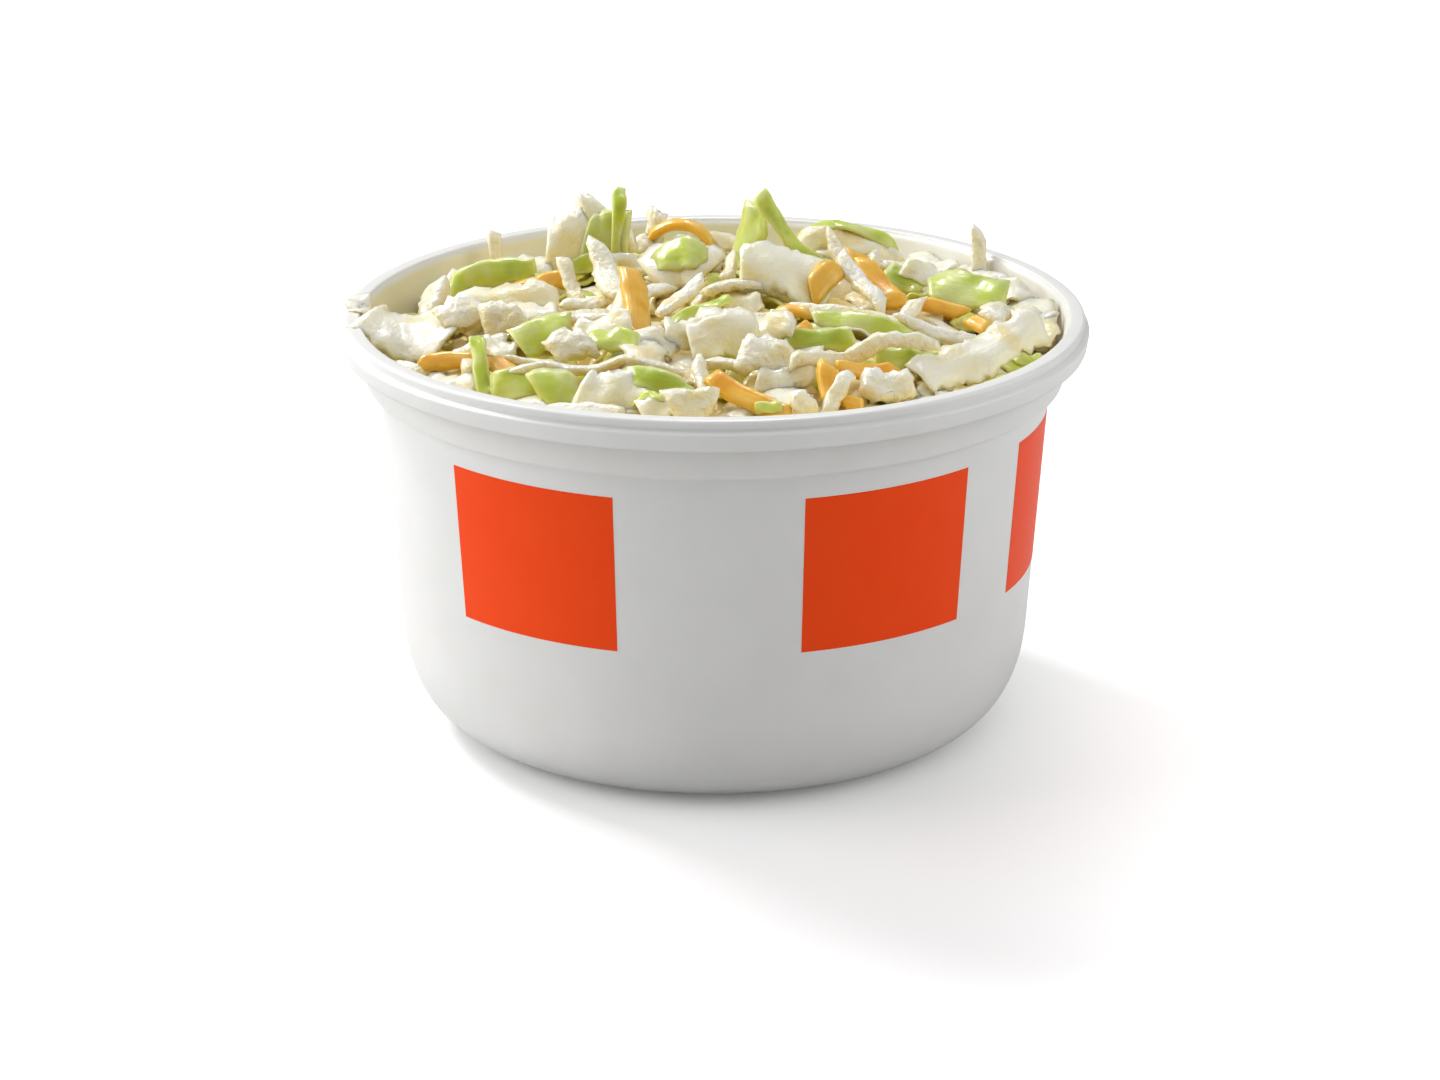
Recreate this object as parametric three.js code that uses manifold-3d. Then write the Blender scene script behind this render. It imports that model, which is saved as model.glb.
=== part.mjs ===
// Coleslaw in its tub: a round deli tub with a stepped collar and a channelled lip, heaped with
// shredded white cabbage, green cabbage leaf and carrot.
// Millimetres, +Z up. The origin is the middle of the base, on the surface that the tub stands on,
// and the tub's front is towards -Y.
import * as THREE from "three";
import { mergeVertices } from "three/addons/utils/BufferGeometryUtils.js";
import Module from "manifold-3d";

// ---- tub: driving dimensions ----
const LIP_RADIUS = 58.5;
const TUB_HEIGHT = 65.5;
const WALL = 0.9;
const LIP_DROP = 4.5;
const MOUTH_RADIUS = 55.3;
const COLLAR_RADIUS = 55.4;
const COLLAR_DRAFT = 0.13;
const SHOULDER_HEIGHT = 55.5;
const BODY_RADIUS_AT_BASE = 48.8;
const BODY_DRAFT = 0.068;
const ROUNDING_ACROSS = 12.7;
const ROUNDING_HEIGHT = 16.4;
const ROUNDING_POWER = 2.47;
const FOOT_INNER_RADIUS = 31;
const BASE_RECESS = 1;
const TUB_SEGMENTS = 48;
const ROUNDING_STEPS = 6;

// ---- slaw: driving dimensions ----
const WALL_GAP = 0.4;
const EDGE_LEVEL = 59.4;
const CROWN_LEVEL = 67.4;
const CROWN_POWER = 2.3;
const CORE_SECTORS = 32;
const CORE_RINGS = 6;
const BED_REACH = 60;
const STATION_STEP = 0.8;
const SEGMENT_LENGTH = 6;
const STIFFNESS_RADIUS = 14;
const SETTLING_PASSES = 40;
const SINK = 0.7;
const STEEPEST_ROLL = 30;
const PROPPED = 0.7;
const FREE_HEIGHT = 3.2;
const FILLER_COUNT = 70;
const FILLER_SPACING = 5.6;
const FILLER_SEED = 7;
const GOLDEN_ANGLE = 137.508;

// Where the slaw dips at the back wall and leaves a pocket of air under the mouth.
const POCKET = { y: 52, radius: 13, depth: 2.4, halfWidth: 12, front: 46 };

// Each kind of shred: its thickness, how far its ends narrow, and how it cups and ruffles across.
const KINDS = {
  shred: { thick: 1.5, ends: 0.7, columns: 1, cup: 0, ruffle: 0 },
  chunk: { thick: 2.6, ends: 0.7, columns: 1, cup: 0, ruffle: 0 },
  pale: { thick: 1.0, ends: 0.7, columns: 2, cup: 0.12, ruffle: 0.6 },
  green: { thick: 1.0, ends: 0.85, columns: 2, cup: 0.1, ruffle: 0.5 },
  carrot: { thick: 1.6, ends: 0.8, columns: 1, cup: 0, ruffle: 0 },
};

// The shreds that lie on top, laid by hand from the bottom up: kind, x, y of the middle, heading in
// degrees from +X towards +Y, run and width, then lift of the far end, arch, bend and roll in degrees.
const TOP_SHREDS = [
  ["shred", 12, 39, 168, 16, 3, 0, 1, 20, 0],
  ["pale", -7, 25, 40, 11, 6, 0, 0.5, 0, 8],
  ["shred", -30, 27, 125, 13, 3, 0, 1, -15, 0],
  ["green", -19, 40, 158, 9, 4.2, 0, 0.5, 0, 0],
  ["carrot", 9, 29, 72, 12, 2.6, 0, 0.5, 12, 0],
  ["shred", 28, 40, 148, 12, 3, 0, 0.5, 10, 0],
  ["pale", 17, 44, 8, 9, 5, 0, 0, 0, 0],
  ["shred", -14, 44, 172, 9, 2.6, 0, 0.5, 0, 0],
  ["carrot", -31, 37, 62, 9, 2.6, 0, 0.5, 0, 0],
  ["green", 37, 31, 105, 9, 4, 0, 0.5, 0, 0],
  ["shred", 0, 41, 95, 9, 3, 0, 0.5, 15, 0],
  ["pale", -41, 24, 72, 11, 5, 0, 0.5, 0, 0],
  ["shred", 41, 21, 62, 12, 2.8, 0, 0.5, -10, 0],
  ["pale", 49.8, 6, 97, 15, 7, 0, 0, 17, -50],
  ["pale", 46.6, 18, 111, 12, 6.4, 0, 0, 14, -46],
  ["shred", 43.4, 27, 120, 12, 3.6, 1.5, 0.5, 12, -30],
  ["pale", 36, 36.5, 133, 10, 6, 0, 0, 12, -40],
  ["pale", 50.6, -4, 84, 9, 5.4, 0, 0, 10, -40],
  ["pale", -46.8, -8.4, 170, 16, 12, 0, 0, 12, -20],
  ["pale", -55.6, 1.4, 96, 8, 4.2, 0, -0.5, 8, -26],
  ["chunk", -44.5, 6, 80, 6, 5, 3.5, 0, 0, 0],
  ["shred", -46.5, -20, -40, 8, 2.6, 0, 0.5, 20, 20],
  ["pale", -34.8, 17, 10, 17.5, 7.5, 0, 1, 12, 38],
  ["green", -35.5, 15, 10, 14, 4.8, 0, 1, 12, 40],
  ["shred", -36.2, 36, 108, 3, 2.4, 7.5, 0, 0, 0],
  ["pale", -33, 2, 10, 17, 5.5, 0, 1, -12, 30],
  ["carrot", -29.2, 11.5, -8, 9, 2.2, 0, 0.5, 0, 20],
  ["carrot", -25.8, 9.5, 15, 4, 3, 0, 0, 0, 30],
  ["pale", -29, -4, 0, 9, 5, 0, 0, 0, 20],
  ["chunk", -38.5, -8.5, 10, 8, 5.5, 0, 0, 0, 35],
  ["chunk", -32.8, -11, -5, 7, 6, 0, 0, 0, 38],
  ["shred", -36, -16, 15, 9, 3, 0, 0.5, 0, 25],
  ["carrot", -40.5, -21, 12, 8, 3.4, 0, 0.5, -20, 30],
  ["pale", -39, -28.5, -30, 9, 4.5, 0, 0, 0, 20],
  ["chunk", -36, -26.5, 0, 4, 3.4, 0, 0, 0, 25],
  ["pale", -33.5, -18.5, -30, 8, 3.6, 0, 0.5, 0, 20],
  ["carrot", -31.8, -28.5, -50, 7, 3.6, 0, 0.5, 0, 25],
  ["green", -35, -29, 104, 9, 2.6, 4, 0, 0, 0],
  ["green", -29.5, -34, -12, 8.5, 5.5, 0, 0, 0, 35],
  ["green", -23.2, -38, 0, 6.4, 6.8, 0, 0, 0, 42],
  ["pale", -23.6, 20.5, 8, 8.2, 10.5, 2, 0, 0, 66],
  ["pale", -19.2, 22.5, 4, 6.5, 14, 3, 0, 0, 76],
  ["green", -17.6, 20.2, 4, 7.4, 10, 1, 0, 0, 70],
  ["green", -15.4, 21, 82, 5, 2.4, 12.2, 0, 0, 0],
  ["green", -21.4, 18, -5, 6, 3.2, 0, 0, 0, 30],
  ["green", -26.2, 15, 12, 5, 3, 0, 0, 0, 30],
  ["shred", -19.5, -1.5, 10, 9, 3, 0, 0, 0, 30],
  ["shred", -16.6, 3, 106, 13, 4.4, 7.5, 0, -8, 0],
  ["shred", -22.4, 5.5, 118, 7, 2.6, 4, 0, 0, 0],
  ["pale", -12.6, 17.5, -14, 8, 2.4, 0, 0.5, 0, 20],
  ["green", -14, 30, -35, 6, 1.8, 0, 1, 0, 10],
  ["chunk", -9.8, 35.2, 84, 3, 3.6, 7.4, 0, 0, 0],
  ["shred", -11.8, 34, 15, 6, 3.4, 0, 0.5, 0, 40],
  ["carrot", -5.4, 33, -16, 11, 2.2, 0, 3.5, -30, 20],
  ["pale", -5.6, 9, -5, 10.5, 9.5, 0, 0.5, 0, 40],
  ["green", -6.1, 9.2, -10, 8.4, 6.6, 0, 1.2, 0, 40],
  ["pale", 2, 33, 0, 12, 4, 0, 1, 0, 35],
  ["pale", -14.6, -13, 82, 8, 3.4, 4, 0, 0, 0],
  ["carrot", -12, -15.5, 95, 14, 4.6, 7, 0.5, 18, 12],
  ["pale", -9.5, -24.5, 0, 7, 4.4, 0, 0, 0, 30],
  ["pale", -3, -21, 30, 11, 6.5, 2, 0, 0, 28],
  ["shred", -5.4, -6, 48, 11, 3, 2, 0.5, 0, 15],
  ["green", -2.6, -12, 36, 12.5, 2.4, 2, 0.5, 0, 22],
  ["green", -23.8, -8.5, -45, 6, 2.2, 0, 0.5, 0, 20],
  ["green", -26.4, -19, 18, 8.5, 6, 0, 0.5, 0, 38],
  ["shred", -27.4, -27, -5, 8, 2, 0, 0, 0, 25],
  ["shred", -19.2, -14.5, 12, 9, 3.4, 0, 0.5, 0, 38],
  ["pale", -17, -20, -10, 9, 5, 0, 0.5, 0, 30],
  ["chunk", -22, -26.5, 5, 6.5, 5.6, 0, 0, 0, 38],
  ["green", -15.6, -26, -18, 8.4, 4.4, 0, 0, 0, 38],
  ["pale", -14.8, -39.5, -6, 10.5, 7, 0, 0, 0, 40],
  ["pale", -8.4, -44.5, 0, 5, 5, 0, 0, 0, 35],
  ["green", -8, -39.5, -20, 10.5, 4, 0, 0, 0, 38],
  ["green", -9.5, -43, -25, 5, 1.8, 0, 0, 0, 30],
  ["shred", -18, -33, 0, 26, 1.7, 0, 0.5, -6, 15],
  ["shred", -1.8, -39, 98, 7, 2.4, 3, 0, 0, 0],
  ["chunk", -3.6, -46, 8, 7, 5.6, 0, 0, 0, 38],
  ["shred", 2.2, 6, 82, 8, 2.4, 4.5, 0, 0, 0],
  ["pale", 10.8, 2.5, 8, 15, 11, 0, 1, 0, 36],
  ["green", 5.6, 24.5, 62, 6, 6.8, 9.5, 0, 0, 0],
  ["green", 13, 20.5, 160, 11.5, 3.2, 9.6, 0, 0, -38],
  ["pale", 21.6, 34, -1, 17, 4.8, 0, 3, 0, 48],
  ["green", 21.8, 35.2, -1, 17, 2.8, 0, 5.4, 0, 50],
  ["shred", 19.8, 24.5, 105, 6, 2.4, 5.5, 0, 0, 0],
  ["shred", 20.5, -10, -8, 21, 3.4, 0, 0.5, -8, 32],
  ["carrot", 17.4, 2.5, 50, 7.5, 4.2, 4, 0, 0, 15],
  ["carrot", 23.4, 19, 20, 5, 4, 0, 0, 0, 38],
  ["shred", 26, 20.5, 80, 5, 2.4, 2.5, 0, 0, 0],
  ["green", 30.2, 16.5, -20, 7, 5.2, 0, 0, 0, 42],
  ["carrot", 26.5, 7, 124, 9.5, 3.4, 4.4, 0, 0, -12],
  ["carrot", 27.6, 0.5, 20, 4.6, 3.4, 0, 0, 0, 35],
  ["shred", 23.4, 2, 124, 12, 3.4, 6, 0, 0, -10],
  ["green", 23, -14.5, -5, 15.5, 4.2, 0, 0.5, -10, 36],
  ["carrot", 12, -11.5, -25, 6, 2, 0, 0.5, 0, 20],
  ["carrot", 13.8, -17, 60, 3.2, 2.2, 0, 0, 0, 20],
  ["green", 10.8, -20, 116, 5, 2.8, 4.5, 0, 0, 0],
  ["green", 16, -21.8, 4, 10.5, 3.8, 0, 0, 25, 38],
  ["pale", 8, -19, -18, 9, 5.4, 0, 0, 0, 30],
  ["pale", 1.2, -23, 24, 11, 7, 1.5, 0.5, 0, 30],
  ["shred", 1.6, -31, -18, 8, 1.8, 0, 1, 0, 20],
  ["shred", -2.3, -32.5, 80, 4, 1.7, 1, 0, 0, 0],
  ["pale", 10.5, -34.5, 8, 9, 5, 0, 0, 0, 30],
  ["chunk", 7.8, -31.5, 5, 8, 6.4, 0, 0, 0, 40],
  ["green", 32.4, -19.5, 24, 9, 2, 0, 0, 0, 22],
  ["green", 27.6, -26.5, 20, 7.4, 4.2, 0, 0, 0, 40],
  ["shred", 22, -29, 20, 24, 2.7, 4.2, 0, -22, 30],
  ["carrot", 5.2, -43, 150, 13.8, 3.6, 0.8, 0, -14, -30],
  ["green", 8, -45.5, -10, 4, 2, 0, 0, 0, 30],
  ["carrot", 17, -37.2, 95, 5, 3.8, 2.8, 0, 0, 0],
  ["carrot", 22.6, -33, 25, 9.5, 3, 1, 0, 0, 30],
  ["carrot", 20.2, -40.5, 10, 3.6, 2.4, 0, 0, 0, 30],
  ["shred", 18.3, -40.5, 52, 6, 2.6, 3.2, 0, 0, 0],
  ["chunk", 13.2, -44.8, 20, 3.6, 3, 0, 0, 0, 30],
  ["chunk", 25.6, -36.5, 8, 8, 5.4, 0, 0, 0, 36],
  ["pale", 34.5, 16.5, -8, 9, 5, 0, 0, 0, 42],
  ["pale", 43, 16, -18, 8, 5, 0, 0, 0, 42],
  ["shred", 33.5, 27, -6, 14, 2.4, 0, 0.5, -8, 40],
  ["shred", 43.2, 30.5, 95, 4, 3, 8.6, 0, 0, 0],
  ["green", 39.8, 8, -14, 12.5, 7.6, 0, 0.5, 0, 46],
  ["pale", 48, 13.5, -42, 8, 4.4, 0, 0, 0, 30],
  ["carrot", 35.4, 0.5, -6, 8, 2.8, 0, 0, 0, 38],
  ["carrot", 41, -4.8, -50, 4, 2.8, 0, 0, 0, 30],
  ["shred", 30.6, -3, 60, 5, 3, 1.5, 0, 0, 0],
  ["shred", 34.2, -13, 2, 13, 3, 0, 0, 0, 30],
  ["pale", 48.2, -3, 54, 14, 5, 1, 0, 10, 18],
  ["pale", 40.5, -22, 43, 27, 7.4, 5.5, 0.5, 12, 20],
  ["green", 48.4, -12, 40, 6, 2.2, 0, 0, 0, 15],
];

// How often each kind comes up among the shreds that fill in below the top ones.
const FILLER_MIX = ["shred", "pale", "shred", "green", "shred", "chunk", "carrot", "shred", "pale", "shred"];
// Shortest and longest run, and narrowest and widest width, of a filler shred.
const FILLER_SIZES = {
  shred: [12, 26, 2.4, 4.5],
  chunk: [6, 10, 4, 7],
  pale: [10, 20, 5, 9],
  green: [8, 16, 3, 6],
  carrot: [9, 18, 2.4, 3.6],
};

const wasm = await Module();
wasm.setup();

const radians = THREE.MathUtils.degToRad;

// ---- the tub's profile ----

function bodyRadius(z) {
  return BODY_RADIUS_AT_BASE + BODY_DRAFT * z;
}

function collarRadius(z) {
  return COLLAR_RADIUS - COLLAR_DRAFT * (TUB_HEIGHT - LIP_DROP - z);
}

// The rounded corner between base and wall, from the base outwards: a quarter of a superellipse.
function roundingPoints(bottom, wall) {
  const points = [];
  const height = ROUNDING_HEIGHT - bottom;
  for (let step = 0; step <= ROUNDING_STEPS; step += 1) {
    const angle = (step / ROUNDING_STEPS) * (Math.PI / 2);
    const up = 1 - Math.cos(angle) ** (2 / ROUNDING_POWER);
    const z = bottom + height * up;
    const out = Math.sin(angle) ** (2 / ROUNDING_POWER);
    const radius = bodyRadius(z) - wall - ROUNDING_ACROSS * (1 - out);
    points.push([radius, z]);
  }
  return points;
}

function outerProfile() {
  const lipFoot = TUB_HEIGHT - LIP_DROP;
  const channelTop = TUB_HEIGHT - 1.1;
  return [
    [0, BASE_RECESS],
    [FOOT_INNER_RADIUS - 1, BASE_RECESS],
    [FOOT_INNER_RADIUS, 0],
    ...roundingPoints(0, 0),
    [bodyRadius(SHOULDER_HEIGHT - 0.6), SHOULDER_HEIGHT - 0.6],
    [bodyRadius(SHOULDER_HEIGHT) + 0.5, SHOULDER_HEIGHT],
    [collarRadius(SHOULDER_HEIGHT) - 0.4, SHOULDER_HEIGHT + 0.1],
    [collarRadius(SHOULDER_HEIGHT + 0.6), SHOULDER_HEIGHT + 0.6],
    [collarRadius(lipFoot), lipFoot],
    [collarRadius(channelTop), channelTop],
    [LIP_RADIUS - 1.2, channelTop],
    [LIP_RADIUS - 1.4, lipFoot],
    [LIP_RADIUS - 0.6, lipFoot],
    [LIP_RADIUS - 0.3, lipFoot + 0.6],
    [LIP_RADIUS, TUB_HEIGHT - 2.4],
    [LIP_RADIUS, TUB_HEIGHT - 1.8],
    [LIP_RADIUS - 0.9, TUB_HEIGHT - 1.1],
    [LIP_RADIUS - 0.9, TUB_HEIGHT - 0.3],
    [LIP_RADIUS - 1.2, TUB_HEIGHT],
    [MOUTH_RADIUS, TUB_HEIGHT],
  ];
}

// The inside, from the floor's edge up to the mouth, drawn in by a clearance where something lies in it.
function innerProfile(clearance) {
  const floor = BASE_RECESS + WALL + clearance;
  const wall = WALL + clearance;
  const ledge = SHOULDER_HEIGHT + WALL + clearance;
  const mouthFoot = TUB_HEIGHT - 1.4;
  return [
    ...roundingPoints(floor, wall),
    [bodyRadius(ledge) - wall, ledge - 0.5],
    [collarRadius(ledge) - wall - 0.3, ledge],
    [collarRadius(mouthFoot) - wall - 0.2, mouthFoot],
    [MOUTH_RADIUS - clearance, TUB_HEIGHT],
  ];
}

// The widest radius that slaw may reach at a height: the wall inside the tub, the lip above it.
function roomRadius(z) {
  if (z >= TUB_HEIGHT + WALL_GAP) {
    return LIP_RADIUS - WALL_GAP;
  }
  const profile = innerProfile(WALL_GAP);
  const last = profile.length - 1;
  for (let index = 0; index < last; index += 1) {
    const [radius, height] = profile[index];
    const [nextRadius, nextHeight] = profile[index + 1];
    if (z <= nextHeight) {
      const share = Math.max(0, (z - height) / (nextHeight - height));
      return radius + (nextRadius - radius) * share;
    }
  }
  return profile[last][0];
}

// ---- meshes and solids ----

function geometryFrom(positions, indices) {
  const geometry = new THREE.BufferGeometry();
  geometry.setAttribute("position", new THREE.Float32BufferAttribute(positions, 3));
  geometry.setIndex(indices);
  return geometry;
}

// Shared corners are merged and triangles that have no area are left out.
function closedGeometry(geometry) {
  const bare = geometry.clone();
  bare.deleteAttribute("normal");
  bare.deleteAttribute("uv");
  const merged = mergeVertices(bare, 1e-4);
  const index = merged.getIndex().array;
  const kept = [];
  for (let corner = 0; corner < index.length; corner += 3) {
    const [a, b, c] = index.slice(corner, corner + 3);
    if (a !== b && b !== c && c !== a) {
      kept.push(a, b, c);
    }
  }
  merged.setIndex(kept);
  return merged;
}

function lathe(profile, segments) {
  const points = profile.map(([radius, z]) => new THREE.Vector2(radius, z));
  const turned = new THREE.LatheGeometry(points, segments);
  turned.rotateX(Math.PI / 2);
  return closedGeometry(turned);
}

function solidFrom(geometry) {
  const mesh = new wasm.Mesh({
    numProp: 3,
    vertProperties: new Float32Array(geometry.getAttribute("position").array),
    triVerts: new Uint32Array(geometry.getIndex().array),
  });
  return new wasm.Manifold(mesh);
}

function geometryOf(solid) {
  const mesh = solid.getMesh();
  return geometryFrom(Array.from(mesh.vertProperties), Array.from(mesh.triVerts));
}

// Keeps the largest closed skin of a solid, so that loose scraps and sealed hollows go.
function largestSkin(geometry) {
  const index = Array.from(geometry.getIndex().array);
  const leader = Array.from({ length: geometry.getAttribute("position").count }, (_, vertex) => vertex);
  function lead(vertex) {
    let top = vertex;
    while (leader[top] !== top) {
      leader[top] = leader[leader[top]];
      top = leader[top];
    }
    return top;
  }
  for (let corner = 0; corner < index.length; corner += 3) {
    leader[lead(index[corner + 1])] = lead(index[corner]);
    leader[lead(index[corner + 2])] = lead(index[corner]);
  }
  const skins = new Map();
  for (let corner = 0; corner < index.length; corner += 3) {
    const skin = lead(index[corner]);
    if (!skins.has(skin)) {
      skins.set(skin, []);
    }
    skins.get(skin).push(...index.slice(corner, corner + 3));
  }
  const largest = [...skins.values()].reduce((best, skin) => (skin.length > best.length ? skin : best));
  const kept = geometry.clone();
  kept.setIndex(largest);
  return kept;
}

// ---- the bed that the shreds are laid on: a height for every millimetre of the plan ----

function bareHeap(x, y) {
  const radius = Math.hypot(x, y) / MOUTH_RADIUS;
  const dome = EDGE_LEVEL + (CROWN_LEVEL - EDGE_LEVEL) * (1 - radius ** CROWN_POWER);
  const lumps = 0.9 * Math.sin(x / 6.1 + 1.3) * Math.cos(y / 7.3) + 0.5 * Math.sin(x / 3.4) * Math.sin(y / 3.9 + 2);
  const dip = POCKET.depth * Math.exp(-((x / POCKET.radius) ** 2) - ((y - POCKET.y) / POCKET.radius) ** 2);
  return dome + lumps * (1 - radius ** 4) - dip;
}

function makeBed() {
  const side = 2 * BED_REACH + 1;
  const heights = new Float64Array(side * side);
  for (let row = 0; row < side; row += 1) {
    for (let column = 0; column < side; column += 1) {
      const x = column - BED_REACH;
      const y = row - BED_REACH;
      const overLip = Math.hypot(x, y) > MOUTH_RADIUS - 0.5;
      heights[row * side + column] = overLip ? TUB_HEIGHT + WALL_GAP + SINK : bareHeap(x, y);
    }
  }
  return { side, heights };
}

function bedHeight(bed, x, y) {
  const column = THREE.MathUtils.clamp(x + BED_REACH, 0, bed.side - 1.001);
  const row = THREE.MathUtils.clamp(y + BED_REACH, 0, bed.side - 1.001);
  const left = Math.floor(column);
  const low = Math.floor(row);
  const across = column - left;
  const up = row - low;
  const first = low * bed.side + left;
  const near = bed.heights[first] * (1 - across) + bed.heights[first + 1] * across;
  const far = bed.heights[first + bed.side] * (1 - across) + bed.heights[first + bed.side + 1] * across;
  return near * (1 - up) + far * up;
}

// Raises the bed where something lies on it, but not under what stands free of it.
function raiseBed(bed, x, y, z) {
  const cell = Math.round(y + BED_REACH) * bed.side + Math.round(x + BED_REACH);
  if (z - bed.heights[cell] < FREE_HEIGHT) {
    bed.heights[cell] = Math.max(bed.heights[cell], z);
  }
}

// ---- laying one shred ----

// The middle line of a shred in plan, as stations along a gentle arc through its middle.
function planLine(shred) {
  const count = Math.max(8, Math.ceil(shred.run / STATION_STEP));
  const step = shred.run / count;
  const stations = [];
  let x = 0;
  let y = 0;
  for (let index = 0; index <= count; index += 1) {
    const share = index / count;
    const heading = radians(shred.heading + shred.bend * (share - 0.5));
    stations.push({ share, heading, x, y });
    x += step * Math.cos(heading);
    y += step * Math.sin(heading);
  }
  const middle = stations[Math.floor(count / 2)];
  const shiftX = shred.x - middle.x;
  const shiftY = shred.y - middle.y;
  for (const station of stations) {
    station.x += shiftX;
    station.y += shiftY;
  }
  return stations;
}

// A shred bridges the hollows under it as far as its stiffness lets it.
function settle(heights, step) {
  const sag = step ** 2 / (2 * STIFFNESS_RADIUS);
  for (let pass = 0; pass < SETTLING_PASSES; pass += 1) {
    for (let index = 1; index < heights.length - 1; index += 1) {
      const chord = (heights[index - 1] + heights[index + 1]) / 2;
      heights[index] = Math.max(heights[index], chord - sag);
    }
  }
  const smooth = heights.slice();
  for (let index = 1; index < heights.length - 1; index += 1) {
    smooth[index] = (heights[index - 1] + 2 * heights[index] + heights[index + 1]) / 4;
  }
  return smooth;
}

// Gives the stations their heights and the roll of the shred, and raises the bed by what it covers.
function layOnBed(bed, shred) {
  const kind = KINDS[shred.kind];
  const stations = planLine(shred);
  const reach = shred.width * 0.4;
  let slope = 0;
  const beds = stations.map(({ x, y, heading }) => {
    const sideX = -Math.sin(heading) * reach;
    const sideY = Math.cos(heading) * reach;
    const left = bedHeight(bed, x + sideX, y + sideY);
    const right = bedHeight(bed, x - sideX, y - sideY);
    slope += (left - right) / (2 * reach) / stations.length;
    return (left + right + 2 * bedHeight(bed, x, y)) / 4;
  });
  const heights = settle(beds, shred.run / (stations.length - 1));
  const lean = THREE.MathUtils.radToDeg(Math.atan(slope));
  const roll = radians(THREE.MathUtils.clamp(lean, -STEEPEST_ROLL, STEEPEST_ROLL) + shred.roll);
  const propped = PROPPED * (shred.width / 2) * Math.abs(Math.sin(radians(shred.roll)));
  stations.forEach((station, index) => {
    const { share } = station;
    const raised = shred.lift * share ** 1.5 + shred.arch * (1 - (2 * share - 1) ** 2);
    station.z = heights[index] + kind.thick / 2 - SINK + propped + raised;
    station.roll = roll;
  });
  const rows = Math.ceil(shred.width / STATION_STEP) + 1;
  for (const { x, y, z, heading } of stations) {
    for (let row = 0; row <= rows; row += 1) {
      const offset = shred.width * (row / rows - 0.5);
      const spotX = x - Math.sin(heading) * Math.cos(roll) * offset;
      const spotY = y + Math.cos(heading) * Math.cos(roll) * offset;
      raiseBed(bed, spotX, spotY, z + Math.sin(roll) * offset + kind.thick / 2);
    }
  }
  return stations;
}

// Draws a point in to the tub's wall where it would go through it.
function keepInTub(point) {
  const radius = Math.hypot(point.x, point.y);
  const room = roomRadius(point.z) - 0.1;
  if (radius > room) {
    point.x *= room / radius;
    point.y *= room / radius;
  }
  return point;
}

// A thin solid along the stations, its upper and lower faces split into triangles alike.
function shredGeometry(shred, stations) {
  const kind = KINDS[shred.kind];
  const segments = THREE.MathUtils.clamp(Math.round(shred.run / SEGMENT_LENGTH), 1, 5);
  const columns = shred.width > 6 ? kind.columns : 1;
  const upper = [];
  const lower = [];
  for (let segment = 0; segment <= segments; segment += 1) {
    const share = segment / segments;
    const place = Math.round(share * (stations.length - 1));
    const station = stations[place];
    const before = stations[Math.max(0, place - 1)];
    const after = stations[Math.min(stations.length - 1, place + 1)];
    const along = new THREE.Vector3(after.x - before.x, after.y - before.y, after.z - before.z).normalize();
    const level = new THREE.Vector3(-Math.sin(station.heading), Math.cos(station.heading), 0);
    const across = level.applyAxisAngle(along, station.roll);
    const out = new THREE.Vector3().crossVectors(along, across).normalize();
    const ends = kind.ends + (1 - kind.ends) * Math.sin(Math.PI * share) ** 0.5;
    const halfWidth = (shred.width / 2) * ends;
    for (let column = 0; column <= columns; column += 1) {
      const side = (2 * column) / columns - 1;
      const cupped = kind.cup * shred.width * (1 - side ** 2);
      const ruffled = kind.ruffle * side * Math.sin(shred.x + shred.y + share * 9);
      const middle = new THREE.Vector3(station.x, station.y, station.z)
        .addScaledVector(across, side * halfWidth)
        .addScaledVector(out, cupped + ruffled);
      upper.push(keepInTub(middle.clone().addScaledVector(out, kind.thick / 2)));
      lower.push(keepInTub(middle.clone().addScaledVector(out, -kind.thick / 2)));
    }
  }
  return sheetGeometry(upper, lower, segments, columns);
}

function sheetGeometry(upper, lower, rows, columns) {
  const positions = [...upper, ...lower].flatMap((point) => point.toArray());
  const indices = [];
  const under = upper.length;
  const wide = columns + 1;
  function quad(a, b, c, d) {
    indices.push(a, b, c, a, c, d);
  }
  for (let row = 0; row < rows; row += 1) {
    for (let column = 0; column < columns; column += 1) {
      const a = row * wide + column;
      const [b, c, d] = [a + wide, a + wide + 1, a + 1];
      quad(a, b, c, d);
      indices.push(under + a, under + c, under + b, under + a, under + d, under + c);
    }
    const left = row * wide + columns;
    const right = row * wide;
    quad(left, left + wide, under + left + wide, under + left);
    quad(right + wide, right, under + right, under + right + wide);
  }
  for (let column = 0; column < columns; column += 1) {
    const far = rows * wide + column;
    quad(column, column + 1, under + column + 1, under + column);
    quad(far + 1, far, under + far, under + far + 1);
  }
  return geometryFrom(positions, indices);
}

// ---- the slaw ----

// A repeatable draw of numbers from 0 up to 1.
function seededDraw(seed) {
  let state = seed >>> 0;
  return () => {
    state = (state + 0x6d2b79f5) >>> 0;
    let mixed = Math.imul(state ^ (state >>> 15), state | 1);
    mixed ^= mixed + Math.imul(mixed ^ (mixed >>> 7), mixed | 61);
    return ((mixed ^ (mixed >>> 14)) >>> 0) / 4294967296;
  };
}

function inPocket(shred) {
  return planLine(shred).some(({ x, y }) => Math.abs(x) < POCKET.halfWidth && y > POCKET.front);
}

function underTopShred(shred) {
  return TOP_SHREDS.some(([, x, y]) => Math.hypot(shred.x - x, shred.y - y) < FILLER_SPACING);
}

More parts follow.
